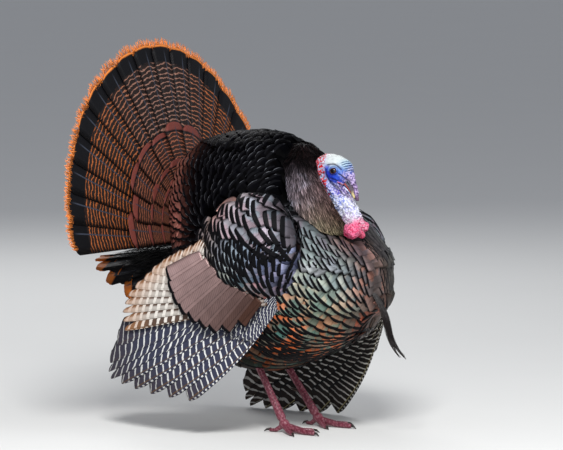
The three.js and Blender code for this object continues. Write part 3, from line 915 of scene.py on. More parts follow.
def eye_material():
    """A dark brown eye with a black pupil and a reddish iris, wet all over.

    Ring holds how far a point lies from the pupil's middle, in millimetres.
    """
    graph = Graph("eye", Roughness=0.05, Specular_IOR_Level=0.3, Coat_Weight=0.3, Coat_Roughness=0.02)
    ring = graph.attribute("Ring", "Fac")
    iris = graph.mix(ring.smooth(2.8, 5.0), (0.016, 0.005, 0.003), (0.060, 0.012, 0.008))
    iris = graph.scaled(iris, 0.7 + graph.noise(900.0) * 0.6)
    iris = graph.mix(ring.smooth(4.6, 5.4), iris, (0.02, 0.01, 0.01))
    graph.set(Base_Color=graph.mix(ring.smooth(3.3, 2.9), iris, (0.002, 0.002, 0.002)))
    return graph.material


# ---- bare head and neck ---------------------------------------------------------------------------

# The middle and half sizes of the head, and the lines down the middle of throat and bill.
HEAD_MIDDLE, HEAD_HALF = np.array([0, -73, 511]), np.array([23, 45, 32])
THROAT_LINE = ((0, -48, 503), (0, -82, 470), (0, -105, 440), (0, -124, 412), (0, -128, 401))
THROAT_RADII = ((24,), (22,), (20,), (17,), (15,))
BILL_LINE = ((0, -90, 503), (0, -106, 492), (0, -119, 472), (0, -123, 459))

# The front edge of the red-beaded nape, as (y, z) from the bottom up.
NAPE = ((-88, 444), (-75, 468), (-69, 490), (-67, 509), (-66, 534), (-58, 547))

# Place, reach, skin tone, the tone of its beads, and how high they stand in millimetres.
BARE_SKIN = coat_table(
    ((0, -78, 545), 12, (214, 220, 216), (230, 234, 230), 0.1),
    ((14, -72, 536), 8, (210, 218, 220), (230, 234, 230), 0.1),
    ((12, -92, 532), 9, (208, 218, 220), (230, 234, 230), 0.1),
    ((8, -104, 524), 6, (170, 206, 220), (190, 216, 230), 0.1),
    ((16, -50, 534), 8, (190, 200, 226), (220, 226, 240), 1.1),
    ((0, -44, 536), 12, (190, 170, 196), (220, 200, 214), 1.1),
    ((18, -72, 514), 5, (24, 62, 200), (40, 90, 210), 0.1),
    ((20, -78, 502), 8, (14, 36, 160), (30, 70, 200), 0.2),
    ((20, -92, 500), 7, (24, 70, 210), (60, 110, 220), 0.2),
    ((18, -98, 512), 6, (40, 104, 216), (90, 150, 230), 0.3),
    ((16, -106, 504), 6, (60, 84, 180), (186, 170, 220), 0.8),
    ((21, -52, 514), 7, (150, 176, 224), (214, 220, 240), 1.2),
    ((21, -46, 500), 8, (150, 170, 220), (214, 214, 236), 1.2),
    ((0, -30, 505), 16, (170, 110, 140), (206, 150, 170), 1.2),
    ((21, -62, 494), 7, (56, 92, 190), (180, 196, 234), 1.1),
    ((20, -66, 484), 7, (66, 98, 196), (196, 206, 236), 1.4),
    ((14, -56, 476), 7, (150, 120, 160), (206, 180, 200), 1.4),
    ((0, -56, 470), 12, (160, 90, 120), (200, 120, 140), 1.4),
    ((20, -84, 478), 7, (62, 70, 180), (180, 180, 234), 1.0),
    ((18, -98, 476), 7, (86, 66, 170), (196, 180, 226), 1.0),
    ((20, -80, 458), 8, (70, 104, 206), (206, 216, 242), 1.4),
    ((20, -100, 452), 8, (100, 120, 206), (214, 218, 242), 1.4),
    ((20, -106, 436), 8, (160, 168, 216), (226, 226, 242), 1.4),
    ((12, -120, 440), 9, (160, 160, 212), (226, 228, 242), 1.4),
    ((16, -118, 422), 7, (206, 160, 200), (230, 224, 240), 1.2),
    ((16, -130, 398), 9, (206, 26, 84), (238, 110, 150), 1.3),
    ((-10, -145, 404), 8, (210, 60, 112), (240, 190, 210), 1.3),
    ((0, -132, 386), 7, (180, 24, 64), (214, 56, 96), 1.3),
    ((0, -110, 516), 6, (50, 90, 190), (190, 192, 230), 0.8),
    ((0, -117, 496), 7, (80, 50, 130), (190, 170, 216), 1.0),
    ((0, -124, 475), 8, (84, 46, 110), (180, 156, 200), 1.0),
    ((0, -130, 456), 5, (70, 28, 60), (100, 50, 86), 0.5),
)


def waves(places, rng, size, count=14):
    """Smooth noise of about -1 to 1 with humps about size millimetres apart."""
    turns = unit(rng.normal(0, 1, (count, 3))) * rng.uniform(0.6, 1.3, (count, 1)) * 2 * math.pi / size
    return np.sin(places @ turns.T + rng.uniform(0, 2 * math.pi, count)).sum(1) / math.sqrt(count)


def from_head(places):
    """Distance from the head's middle, as a share of its half size that way."""
    return np.linalg.norm((places - HEAD_MIDDLE) / HEAD_HALF, axis=1)


def behind_nape(places):
    """How far places lie behind the front edge of the nape."""
    edge, height = zip(*NAPE)
    return places[:, 1] - np.interp(places[:, 2], height, edge)


def along_line(places, line, radii):
    """Distance from a curved line less its radius there, and the share of the way along it."""
    shares = np.linspace(0, 1, 60)
    points, widths = curve(line, shares), curve(radii, shares)[:, 0]
    apart = np.linalg.norm(places[:, None] - points[None], axis=2) - widths
    nearest = apart.argmin(1)
    return apart[np.arange(len(places)), nearest], shares[nearest]


def bump_at(places, centre, reach, amount):
    """A rounded rise about a point, alike on both sides of the midline."""
    away = mirrored(places) - centre
    return amount * np.exp(-(away ** 2).sum(1) / (2 * reach ** 2))


def ridge_along(places, line, width, amount, inner):
    """A rise that follows a line on both sides of the head, from `inner` millimetres off the midline."""
    points = curve(line, np.linspace(0, 1, 40))
    apart = np.linalg.norm(places[:, None, 1:] - points[None, :, 1:], axis=2).min(1)
    return amount * np.exp(-(apart / width) ** 2) * smooth(inner, inner + 5, np.abs(places[:, 0]))


def beads(places, chosen, radii, heights):
    """The rise of round beads centred on chosen places, and which bead each place lies on."""
    rise = np.zeros(len(places))
    which = np.full(len(places), -1)
    for k, (centre, radius, height) in enumerate(zip(chosen, radii, heights)):
        apart = ((places - centre) ** 2).sum(1)
        near = np.nonzero(apart < radius ** 2)[0]
        dome = height * np.sqrt(1 - apart[near] / radius ** 2)
        higher = dome > rise[near]
        rise[near[higher]] = dome[higher]
        which[near[higher]] = k
    return rise, which


def scattered(places, rng, spacing):
    """Some of the places, drawn in turn, no two nearer than spacing allows at each."""
    kept, gaps = [], []
    for k in rng.permutation(len(places))[:9000]:
        gap = spacing[k]
        if kept and (((np.array(kept) - places[k]) ** 2).sum(1) < (gap * (np.array(gaps) + gap) / 2)).any():
            continue
        kept.append(places[k])
        gaps.append(gap)
    return np.array(kept)


def washed(tone, share, laid_tone):
    """The tones with another colour laid over them by its share at each point: the skin's and bill's own
    colours, and painted shade.
    """
    share = np.clip(share, 0, 1)[:, None]
    return tone * (1 - share) + np.array(colour(*laid_tone)) * share


# The radius of the lids' edge, and the skin's creases: each one's line, width and strength.
EYE_RING = 6.9
CREASES = (
    (((20, -69, 514), (20, -70, 503), (20, -76, 492), (18, -86, 483), (17, -94, 477)), 1.9, 1.0),
    (((20, -74, 497), (19, -84, 487), (18, -93, 481), (17, -100, 472), (15, -107, 465)), 1.3, 1.0),
    (((17, -96, 482), (16, -101, 477), (15, -108, 469), (14, -113, 462)), 1.2, 1.0),
    (((16, -93, 488), (13, -102, 481), (11, -110, 473), (9, -116, 466)), 1.2, 1.0),
    (((20, -80, 497), (19, -88, 495), (17, -94, 493)), 1.2, 0.9),
    (((18, -98, 506), (16, -104, 502), (13, -109, 496), (9, -114, 487)), 1.6, 1.0),
    (((18, -72, 523), (18, -85, 525), (18, -95, 521), (16, -102, 515)), 1.6, 1.0),
    (((21, -62, 490), (20, -72, 478), (19, -82, 468)), 1.2, 0.8),
    (((20, -72, 470), (20, -84, 462), (18, -94, 458)), 1.2, 0.7),
)


def shape_head(places):
    """The rise of each point of the bare head, and its tone."""
    rng = drawn(5)
    values = blended(places, BARE_SKIN)
    tone, bead_height = values[:, :3], values[:, 6]
    side = np.abs(places[:, 0])

    # The lids, the fold above them, the crease between the two, and the hollow that holds the eye.
    from_eye = places[:, 1:] - np.array(LEFT_EYE[1:])
    round_eye = np.hypot(from_eye[:, 0] / 1.05, from_eye[:, 1] / 0.96)
    beside = smooth(8, 13, side)
    upper = smooth(-3, 4, from_eye[:, 1])
    lid = np.exp(-((round_eye - EYE_RING) / 1.2) ** 2) * beside
    fold = np.exp(-((round_eye - EYE_RING - 3.2) / 1.1) ** 2) * beside * upper
    crease = np.exp(-((round_eye - EYE_RING - 1.8) / 0.7) ** 2) * beside
    rise = lid * (1.2 + 0.6 * upper) + fold * 1.3 - crease * 0.9
    rise -= 5.0 * smooth(EYE_RING - 0.6, EYE_RING - 2.0, round_eye) * beside

    # The swelling over the bill, the cheek, the ear, and loose skin.
    rise += bump_at(places, (7, -104, 521), 7, 2.6)
    rise += bump_at(places, (18, -84, 493), 7, 1.4)
    rise -= bump_at(places, (23, -62, 506), 3.0, 2.2)
    rise += 0.3 * waves(places, rng, 6)
    rise += 0.8 * waves(places * [0.6, 0.7, 1.3], rng, 11) * smooth(498, 484, places[:, 2])
    creased = np.zeros(len(places))
    for line, width, depth in CREASES:
        creased = np.maximum(creased, ridge_along(places, line, width, depth, 4))
    lip = ridge_along(places, ((16, -94, 491), (12, -101, 486), (9, -106, 481), (5, -116, 470)), 0.9, 1.0, 3)
    rise += 1.2 * lip - 1.7 * creased

    # Wrinkles across the forehead.
    nod = (places[:, 1] + 104) * 0.35 + (places[:, 2] - 520) * 0.93
    brow = smooth(-94, -101, places[:, 1]) * smooth(506, 513, places[:, 2]) * smooth(16, 11, side)
    brow = brow * smooth(533, 528, places[:, 2])
    wrinkle = np.sin(nod * 2 * math.pi / 4.6)
    rise += 0.9 * wrinkle * brow

    # Beads of skin, bent out of round, most of them red on the nape.
    bent = places + 1.1 * np.stack([waves(places, rng, 8) for _ in range(3)], 1)
    spots = scattered(bent, rng, 1.3 * (1.3 + 0.8 * bead_height))
    spot_values = blended(spots, BARE_SKIN)
    red = (behind_nape(spots) + rng.normal(0, 1.8, len(spots)) > 0) & (spots[:, 2] > 440)
    red = (red & (rng.uniform(0, 1, len(spots)) < 0.8))[:, None]
    spot_tone = np.where(red, colour(206, 26, 34), spot_values[:, 3:6])
    heights = np.maximum(spot_values[:, 6], 1.5 * red[:, 0]) * rng.uniform(0.5, 1.2, len(spots))
    heights = heights * (np.hypot(*(spots[:, 1:] - LEFT_EYE[1:]).T) > EYE_RING + 3)
    radii = (1.3 + 0.8 * spot_values[:, 6]) * rng.uniform(0.6, 1.25, len(spots)) * (1 - 0.05 * red[:, 0])
    dome, which = beads(bent, spots, radii, heights)
    rise += dome * (1 - brow) * (1 - 0.7 * creased)
    tall = np.maximum(heights[which], 0.3)
    shown = smooth(0.15, 0.45, dome / tall) * smooth(0.2, 0.6, tall)
    furrow = smooth(0.20, 0.04, np.abs(waves(places * [1, 0.8, 1.2], rng, 15)))
    furrow = furrow * smooth(0.7, 1.0, bead_height)
    rise -= 0.8 * furrow

    # The tones: the nape's ground, the beads, painted shade in the furrows, creases and wrinkles and on the
    # lower lid, and the colours of the fold, the upper lid, the lip and the lids' edge.
    nape = smooth(-2.5, 2.5, behind_nape(places)) * smooth(440, 450, places[:, 2])
    tone = washed(tone, nape * 0.7, (196, 204, 232))
    shade = rng.uniform(0.75, 1.15, (len(spots) + 1, 1))[which]
    tone = tone * (1 - shown[:, None]) + spot_tone[which] * shade * shown[:, None]
    # Painted shade in the furrows between the beads, and a random mottling.
    tone = tone * (1 - 0.65 * furrow[:, None]) * (1 - 0.12 * smooth(0.2, 1.2, waves(places, rng, 5))[:, None])
    # Painted shade in the crease round the eye, on the lower lid, in the creases and in the wrinkles'
    # troughs.
    for share, laid_tone in (((crease + 0.6 * lid * (1 - upper)) * 0.8, (10, 24, 96)),
                       (fold * 0.6, (130, 180, 232)),
                       (lid * upper * 0.6, (90, 140, 226)),
                       (creased * 0.95, (8, 12, 60)),
                       (lip, (224, 112, 96)),
                       (smooth(0.1, -0.5, wrinkle) * brow, (16, 50, 100)),
                       (smooth(EYE_RING + 0.5, EYE_RING - 0.5, round_eye) * beside, (40, 12, 22))):
        tone = washed(tone, share, laid_tone)
    return rise, tone


def bill_tone(places):
    """Tones of the bill: slate at its base, a red edge along the gape, a cream tip, and painted shade in the
    nostrils.

    Also returns how much of a nostril each place has.
    """
    shares = np.linspace(0, 1, 50)
    points = curve(BILL_LINE, shares)
    nearest = np.linalg.norm(places[:, None, 1:] - points[None, :, 1:], axis=2).argmin(1)
    share, away = shares[nearest], places - points[nearest]
    below = away @ np.array([0, 0.84, -0.54])
    tone = np.tile(colour(70, 72, 104), (len(places), 1))
    tone = washed(tone, smooth(0.35, 0.6, share) * 0.6, (112, 96, 88))
    tone = washed(tone, smooth(1.6, 2.8, below) * smooth(0.85, 0.6, share), (222, 110, 92))
    tone = washed(tone, smooth(0.62, 0.8, share), (232, 214, 150))
    tone = washed(tone, smooth(0.93, 1.0, share), (112, 104, 60))
    nostril = np.exp(-(((share - 0.42) / 0.06) ** 2 + ((below + 1.5) / 1.6) ** 2))
    nostril = nostril * smooth(2, 4, np.abs(places[:, 0]))
    # Painted shade in the nostrils.
    return washed(tone, nostril, (16, 12, 16)), nostril


# Each leg's hock and ankle, and how far apart the scutes of shanks and toes lie.
LEGS = {-1: ((-54, 96, 172), (-54, 6, 17)), 1: ((66, 122, 156), (66, 14, 17))}
SHANK_SCUTE, TOE_SCUTE = 6.0, 4.6
LEG_TONE, SCUTE_TONE = colour(116, 48, 64), colour(40, 10, 20)


def shape_legs(places, normals):
    """The rise and tone of scutes on shanks and toes."""
    rise = np.zeros(len(places))
    shade = np.zeros(len(places))
    for side, (hock, ankle) in LEGS.items():
        mine = places[:, 0] * side > 0
        axis = unit(np.subtract(hock, ankle))
        away = places - np.array(ankle, float)
        up = away @ axis
        out = np.hypot(away[:, 0], away[:, 1])
        on_shank = smooth(14, 24, up) * mine
        on_toe = smooth(16, 22, out) * smooth(26, 18, places[:, 2]) * mine
        front = smooth(-0.3, 0.5, -normals[:, 1])
        plate = np.abs(((up + 2.0 * np.abs(normals[:, 0])) / SHANK_SCUTE) % 1 - 0.5) * 2
        ring = np.abs((out / TOE_SCUTE) % 1 - 0.5) * 2
        cut = smooth(0.72, 1.0, plate) * on_shank * (0.35 + 0.65 * front)
        cut += smooth(0.7, 1.0, ring) * on_toe * smooth(-0.2, 0.4, normals[:, 2])
        rise -= 0.75 * cut
        shade += cut
    shade = np.clip(shade, 0, 1)[:, None]
    tone = np.array(LEG_TONE) * (1 - shade) + np.array(SCUTE_TONE) * shade
    pale = np.clip(waves(places, drawn(6), 5), 0, 1)[:, None] * (1 - shade)
    tone = tone * (1 - 0.35 * pale) + np.array(colour(206, 150, 160)) * 0.35 * pale
    sole = smooth(3.5, 1.0, places[:, 2])[:, None]
    return rise * (1 - sole[:, 0]), tone * (1 - 0.5 * sole)


RUFF = coat_table(
    ((10, -60, 560), 22, (10, 8, 8), (16, 12, 12), 0.12),
    ((50, -20, 540), 26, (16, 12, 12), (40, 30, 30), 0.10),
    ((36, -86, 490), 22, (54, 33, 32), (84, 52, 48), 0.06),
    ((30, -112, 440), 20, (70, 50, 46), (98, 68, 60), 0.06),
    ((70, -70, 470), 26, (106, 88, 86), (126, 106, 104), 0),
    ((80, -90, 420), 26, (136, 116, 104), (150, 140, 114), 0),
    ((80, -40, 480), 24, (96, 90, 98), (150, 160, 182), 0.05),
    ((70, -110, 384), 22, (140, 136, 104), (166, 172, 136), 0),
    ((20, -120, 384), 20, (84, 80, 64), (110, 110, 88), 0),
    ((90, -30, 410), 24, (84, 90, 100), (150, 168, 186), 0.06),
)


# The middle of the feathered neck, as (y, z) from the bottom up.
NECK = ((-56, 378), (-50, 408), (-38, 450), (-22, 492), (-6, 524), (4, 560))


def ruff_rows(form, rng):
    """Seeds in staggered level rows round the feathered neck."""
    middles, heights = zip(*NECK)
    found = []
    for k, height in enumerate(np.arange(376, 564, 4.6)):
        middle = np.interp(height, heights, middles)
        for angle in np.arange(0, 360, 3.0) + (k % 2) * 1.5:
            angle += rng.uniform(-0.9, 0.9)
            away = Vector((math.cos(math.radians(angle)), math.sin(math.radians(angle)), 0))
            hit, _, _, _ = form.ray_cast(Vector((0, middle, height)) + away * 200, -away)
            if hit is not None:
                found.append(hit[:])
    return np.array(found)


def ruff_lie(places):
    """Which way the ruff's feathers point: down, and forwards in front."""
    rear = smooth(-90, 20, places[:, 1])
    heading = np.zeros_like(places)
    heading[:, 0] = 0.12 * np.sign(places[:, 0])
    heading[:, 1] = -0.5 + 0.75 * rear
    heading[:, 2] = -0.9
    return unit(heading)


# ---- the add-on ---------------------------------------------------------------------------------

def size_setting(name, description, default, low, high):
    """A length in metres that a user may change."""
    return bpy.props.FloatProperty(name=name, description=description, default=default, min=low, max=high,
                                   subtype="DISTANCE", unit="LENGTH")


def colour_setting(name, description, default):
    """A colour that a user may change."""
    return bpy.props.FloatVectorProperty(name=name, description=description, default=default, min=0, max=1,
                                         size=3, subtype="COLOR")


class TurkeySizes(bpy.types.PropertyGroup):
    """Sizes a user may change."""

    coat_depth: size_setting("Coat depth", "How far the skin lies under the feather tips", 0.010, 0.004, 0.02)
    eye_radius: size_setting("Eye radius", "Radius of each eyeball", 0.0072, 0.005, 0.009)
    strand: size_setting("Bristle width", "Half width of each bristle of the beard", 0.00045, 0.0002, 0.001)


class TurkeyColours(bpy.types.PropertyGroup):
    """Colours a user may change."""

    chestnut: colour_setting("Chestnut", "Bars of the tail", colour(150, 84, 46))
    rust: colour_setting("Rust", "Tips of the tail", colour(204, 118, 56))
    bronze: colour_setting("Bronze", "Greater coverts of the wing", colour(64, 46, 40))
    horn: colour_setting("Horn", "Claws and spurs", colour(60, 46, 40))
    floor: colour_setting("Floor", "The plain floor", (0.72, 0.72, 0.70))


class TURKEY_OT_skin(bpy.types.Operator):
    """Make the skin: the body under its coat, the bare head and neck, and the scaly legs"""

    bl_idname = "turkey.skin"
    bl_label = "Skin"

    def execute(self, context):
        depth = context.scene.turkey_sizes.coat_depth / MM
        head_nodes = ("head", "throat", "snood")
        leg_nodes = ("shank_right", "foot_right", "shank_left", "foot_left")
        body = make_form(*BODY_NODES, voxel=7.0, rounds=10)
        places = places_of(body)
        raise_points(body, places, -depth)
        point_colour(body.data, "Tone", np.tile(colour(46, 34, 32), (len(places), 1)))
        head = make_form(*head_nodes, voxel=1.15, rounds=12)
        places = places_of(head)
        rise, tone = shape_head(places)
        raise_points(head, places, rise)
        point_colour(head.data, "Tone", tone)
        legs = make_form(*leg_nodes, voxel=1.4, rounds=5)
        places = places_of(legs)
        rise, tone = shape_legs(places, of_points(legs.data, "normal"))
        raise_points(legs, places, rise)
        point_colour(legs.data, "Tone", tone)
        only(body)
        head.select_set(True)
        legs.select_set(True)
        bpy.ops.object.join()
        finish_piece(body, "skin", painted_material("bare skin", 0.42), "bare_skin",
                     *BODY_NODES, *head_nodes, *leg_nodes)
        return {"FINISHED"}


class TURKEY_OT_eyes(bpy.types.Operator):
    """Make the two eyeballs, each with a slight bulge over its iris"""

    bl_idname = "turkey.eyes"
    bl_label = "Eyes"

    def execute(self, context):
        radius = context.scene.turkey_sizes.eye_radius
        material = eye_material()
        for name, side in SIDES:
            middle = to_frame(np.array(LEFT_EYE) * [side, 1, 1])
            deselect()
            bpy.ops.mesh.primitive_uv_sphere_add(segments=40, ring_count=24, radius=radius)
            ball = bpy.context.object
            outward = unit(np.array([side, -0.16, 0.02]))
            points = of_points(ball.data, "co")
            facing = points @ outward
            across = np.linalg.norm(points - facing[:, None] * outward, axis=1)
            cornea = np.exp(-(across / (0.45 * radius)) ** 2) * (facing > 0) * 0.07
            set_points(ball, points * (1 + cornea[:, None]) + middle)
            ring = ball.data.attributes.new("Ring", "FLOAT", "POINT")
            ring.data.foreach_set("value", np.where(facing > 0, across / MM, 9.0))
            finish_piece(ball, f"eyeball_{name}", material, "eye", f"eye_{name}")
        return {"FINISHED"}


class TURKEY_OT_horn(bpy.types.Operator):
    """Make the bill, claws and spurs"""

    bl_idname = "turkey.horn"
    bl_label = "Bill, claws and spurs"

    def execute(self, context):
        horn = horn_material("claw horn", tuple(context.scene.turkey_colours.horn), colour(30, 24, 22), 12, 3)
        bill = painted_material("bill horn", 0.3)
        self.shape_upper_bill(bill)
        self.shape_lower_bill(bill)
        for side, _ in SIDES:
            self.piece(f"spur_{side}", horn, 0.7, 3)
            for toe in ("middle", "inner", "outer", "hind"):
                self.piece(f"claw_{side}_{toe}", horn, 0.6, 2)
        return {"FINISHED"}

    def piece(self, node, material, voxel=0.6, rounds=3):
        """Rounds off one node of horn."""
        obj = make_form(node, voxel=voxel, rounds=rounds)
        finish_piece(obj, f"{node}_horn", material, "horn", node)
        return obj

    def shape_upper_bill(self, material):
        """Sinks the nostrils and darkens them with painted shade."""
        obj = self.piece("bill_upper", material)
        places = places_of(obj)
        tone, nostril = bill_tone(places)
        raise_points(obj, places, -1.2 * nostril)
        point_colour(obj.data, "Tone", tone)

    def shape_lower_bill(self, material):
        """Streaks it dark blue over a pale ground: painted shadow lines, as between the bill and the throat
        skin.
        """
        obj = self.piece("bill_lower", material)
        places = places_of(obj)
        # Dark streaks across the lower bill: painted shadow lines.
        streaks = smooth(-0.2, 0.6, np.sin(places[:, 2] * 1.1 - places[:, 1] * 0.8))
        tone = washed(np.tile(colour(196, 200, 222), (len(places), 1)), streaks, (52, 60, 130))
        point_colour(obj.data, "Tone", tone)


class TURKEY_OT_body_coat(bpy.types.Operator):
    """Lay the feathers of breast, belly, back and rump"""

    bl_idname = "turkey.body_coat"
    bl_label = "Body feathers"

    def execute(self, context):
        breast = Coat(BODY_TOP)
        lay_patch(breast, 11, (0, 45, 250), (0.12, -0.985, -0.125), (-0.09, 0, 1), (-180, 180), (5, 125),
                  lambda places: ~on_back(places) & on_body(places), bend=26, breast=True)
        breast.finish("breast_feathers", plumage_material("breast plumage"), "plumage")
        back = Coat(BODY_TOP)
        lay_patch(back, 12, (0, 90, 400), (-1, 0, 0), (0, -1, 0), (20, 275), (12, 168),
                  lambda places: on_back(places) & on_body(places), gap=15, width=27, drop=0.13)
        dull = plumage_material("back plumage", shine=0.0, patches=0.5, gloss=1.06)
        back.finish("back_feathers", dull, "plumage")
        return {"FINISHED"}


class TURKEY_OT_shoulder_coat(bpy.types.Operator):
    """Lay the scapulars and the lesser coverts of both shoulders"""

    bl_idname = "turkey.shoulder_coat"
    bl_label = "Shoulder feathers"

    def execute(self, context):
        material = plumage_material("shoulder plumage", rim=(0.50, 0.56, 0.62), shine=0.35)
        for name, side in SIDES:
            coat = Coat(BODY_TOP)
            lay_shoulder(coat, side)
            coat.finish(f"shoulder_{name}_feathers", material, "plumage")
        return {"FINISHED"}


class TURKEY_OT_ruff_coat(bpy.types.Operator):
    """Lay the fine feathers round the neck"""

    bl_idname = "turkey.ruff_coat"
    bl_label = "Ruff"

    def execute(self, context):
        rng = drawn(31)
        ruff = surface("ruff")
        places = ruff_rows(ruff, rng)
        from_throat, _ = along_line(places, THROAT_LINE, THROAT_RADII)
        places = places[(from_throat > 0.5) & (gap_to("body", places) < 8.0) & (from_head(places) >= 1.1)]
        length = rng.uniform(28, 42, len(places))
        heading = unit(ruff_lie(places) + rng.normal(0, 0.07, places.shape))
        line, normals = walk(ruff, places - heading * length[:, None] * 0.5, heading, length,
                             np.linspace(0, 1, 6), 5.0, rng.uniform(0.3, 2.6, len(places)))
        values = blended(places, RUFF)
        streak = smooth(-85, -50, places[:, 1]) * (rng.uniform(0, 1, len(places)) > 0.55)
        shade = (rng.uniform(0.35, 1.45, len(places)) + 1.1 * streak)[:, None]
        shade = shade * (1 + 0.4 * np.clip(waves(places, rng, 12), -1.5, 1.5))[:, None]
        half = rng.uniform(1.1, 2.0, len(places))[:, None] * np.array([0.4, 0.9, 1.0, 0.9, 0.6, 0.2])
        coat = Coat((-1, -0.4, 0.4, 1))
        coat.add(line, normals, half, half, camber=0.6, thick=0.25, drop=0.1, tint=values[:, :3] * shade,
                 sheen=values[:, 3:6] * shade, marks=values[:, 6:9])
        coat.finish("ruff_feathers", plumage_material("ruff plumage", shine=0.25, patches=0.4), "ruff")
        return {"FINISHED"}


# The length of the longest tail feather and of the outermost ones, and how much of it the barbs add.
TAIL_LENGTH, TAIL_SIDE_LENGTH, TAIL_VANE = 413, 388, 0.972
TAIL_COUNT = 18
# The tail coverts' rows from the longest to the shortest: feathers, share of the length, and height.
TAIL_COVERTS = ((11, 0.98, 0.0), (10, 0.76, 2.5), (9, 0.55, 5.0))


class TURKEY_OT_tail(bpy.types.Operator):
    """Make the spread tail and its coverts"""

    bl_idname = "turkey.tail"
    bl_label = "Tail"

    def execute(self, context):
        look = context.scene.turkey_colours
        rust, chestnut = tuple(look.rust), tuple(look.chestnut)
        black = (0.003, 0.003, 0.004)
        count = TAIL_COUNT
        rng = drawn(41)
        middle = np.abs(np.arange(count) - (count - 1) / 2) / ((count - 1) / 2)
        marks = np.stack([0.100 + 0.06 * middle, rng.uniform(0, 1, count), 1 - smooth(0.1, 0.5, middle)], 1)
        tail = Coat(LARGE_TOP)
        blades(tail, fan(TAIL_LENGTH * TAIL_VANE, TAIL_SIDE_LENGTH * TAIL_VANE), count, TAIL_FACE, marks,
               raised=1.4 - 2.6 * middle, root=0.2, blunt=0.72, drop=0.016, stations=30, lean=2.4, seed=42,
               round_from=0.95)
        tail.finish("tail_feathers", tail_material("tail vane", (0.014, 0.009, 0.008), chestnut, rust, black,
                                                   0.0285, 0.012), "tail", "tail_fan")
        fringe = Coat((-1, 1))
        self.barbs(fringe, fan(TAIL_LENGTH, TAIL_SIDE_LENGTH), count, rng, rust)
        fringe.finish("tail_fringe", hair_material("tail fringe", 0.4), "tail")
        covert = Coat(LARGE_TOP)
        for k, (number, share, raised) in enumerate(TAIL_COVERTS):
            rusty = rng.uniform(0.05, 0.12, number)
            marks = np.stack([rusty + 0.022, rng.uniform(0, 1, number), rusty], 1)
            blades(covert, fan(256 * share, 222 * share, 60, 7), number, TAIL_FACE, marks, raised=raised,
                   overlap=1.35, root=0.25, blunt=0.7, drop=0.03, round_from=0.9, stations=24, lean=5.0,
                   seed=43 + k, ragged=0.14, cell=(k / 3, (k + 1) / 3))
        material = tail_material("tail covert vane", (0.030, 0.015, 0.012), colour(146, 88, 66),
                                 colour(104, 56, 50), black, 0.045)
        covert.finish("tail_covert_feathers", material, "tail", "tail_coverts")
        return {"FINISHED"}

    def barbs(self, coat, place, count, rng, rust):
        """Hairy ends that carry each tail feather's tip out to its full length."""
        number = 60
        root_to_tip = np.array([-0.045, -0.015, 0.0])
        across = np.linspace(-1.1, 1.1, number)
        for k in range(count):
            t = (k + 0.5 + across * 0.5 + rng.normal(0, 0.004, number)) / count
            tip = 1 - 0.02 * np.abs(across) ** 2.2
            s = tip[:, None] + root_to_tip + rng.uniform(-0.020, 0.010, (number, 1))
            sway = rng.normal(0, 0.0040, (number, 1)) * np.array([0, 0.5, 1])
            line = place(t[:, None] + sway, s, 0.3 + rng.uniform(-0.6, 0.8, (number, 1)) + 0 * s)
            half = np.ones((number, 1)) * np.array([1, 0.8, 0.25])
            shade = rng.uniform(1.0, 2.0, (number, 1))
            coat.add(line, np.broadcast_to(TAIL_FACE, line.shape), half, half, thick=0.3,
                     tint=np.array(rust) * shade)


# The undertail coverts' rows from the lowest up: feathers, where they start and end, and the rusty tip.
UNDERTAIL = ((9, 0.35, 1.0, 0.17), (10, 0.25, 0.90, 0.02), (12, 0.15, 0.74, 0.0), (12, 0.0, 0.58, 0.0))


class TURKEY_OT_undertail(bpy.types.Operator):
    """Lay the coverts under the tail, and the down among them"""

    bl_idname = "turkey.undertail"
    bl_label = "Undertail coverts"

    def execute(self, context):
        rng = drawn(51)
        coat = Coat((-1, -0.5, 0, 0.5, 1))
        for face, offset in ((1, 0.0), (-1, 0.4)):
            for k, (count, start, end, rusty) in enumerate(UNDERTAIL):
                rusty = rusty * rng.uniform(0.8, 1.3, count)
                marks = np.stack([rusty + 0.06, rng.uniform(0, 1, count), rusty], 1)
                raised = face * (0.8 + 0.9 * k) + rng.uniform(-1.5, 1.5, count)
                blades(coat, self.place, count, (0, 0, face), marks, reach=(start, end), raised=raised,
                       root=0.25, blunt=0.62, round_from=0.8, drop=0.05, stations=12, seed=52 + k, camber=2.0,
                       lean=rng.uniform(-5, 5), cell=(offset + k / 10, offset + (k + 1) / 10))
        material = tail_material("undertail vane", (0.006, 0.005, 0.006), (0.010, 0.009, 0.009),
                                 colour(196, 108, 46), (0.004, 0.004, 0.006), 0.2)
        coat.finish("undertail_feathers", material, "plumage", "undertail_coverts")
        down = Coat((-1, 1))
        count = 1500
        t, lift = rng.uniform(-0.05, 1.05, (count, 1)), rng.uniform(-12, 34, (count, 1))
        start, length = rng.uniform(-0.05, 0.5, (count, 1)), rng.uniform(0.2, 0.42, (count, 1))
        shares = np.linspace(0, 1, 5)[None, :]
        reach = start + length * shares
        lift = lift * smooth(1.1, 0.1, reach)
        line = self.place(t + rng.normal(0, 0.03, (count, 1)) * shares, reach, lift)
        line += rng.normal(0, 4.0, (count, 1, 3)) * shares[..., None] ** 1.5
        half = rng.uniform(0.5, 1.1, (count, 1)) * np.array([1, 1, 0.9, 0.6, 0.2])
        tint = np.array((0.006, 0.005, 0.005)) * rng.uniform(0.5, 2.0, (count, 1))
        down.add(line, np.broadcast_to([0, 0.1, 1.0], line.shape), half, half, thick=0.3, tint=tint)
        down.finish("undertail_down", hair_material("black down", 0.1), "plumage")
        return {"FINISHED"}

    def place(self, t, s, raised):
        """The place at share t from right to left and share s from root to tip."""
        t, s, raised = np.broadcast_arrays(t, s, raised)
        q = (2 * t - 1) * 1.35
        start = np.stack([45 * q, 248 + 0 * q, 342 - 8 * q ** 2], -1)
        end = np.stack([94 * q, 508 - 104 * q ** 2, 311 - 30 * q ** 2], -1)
        made = start + (end - start) * s[..., None]
        made[..., 2] += raised * (1.6 - s) - 15 * q ** 2 * (1 - s)
        return made


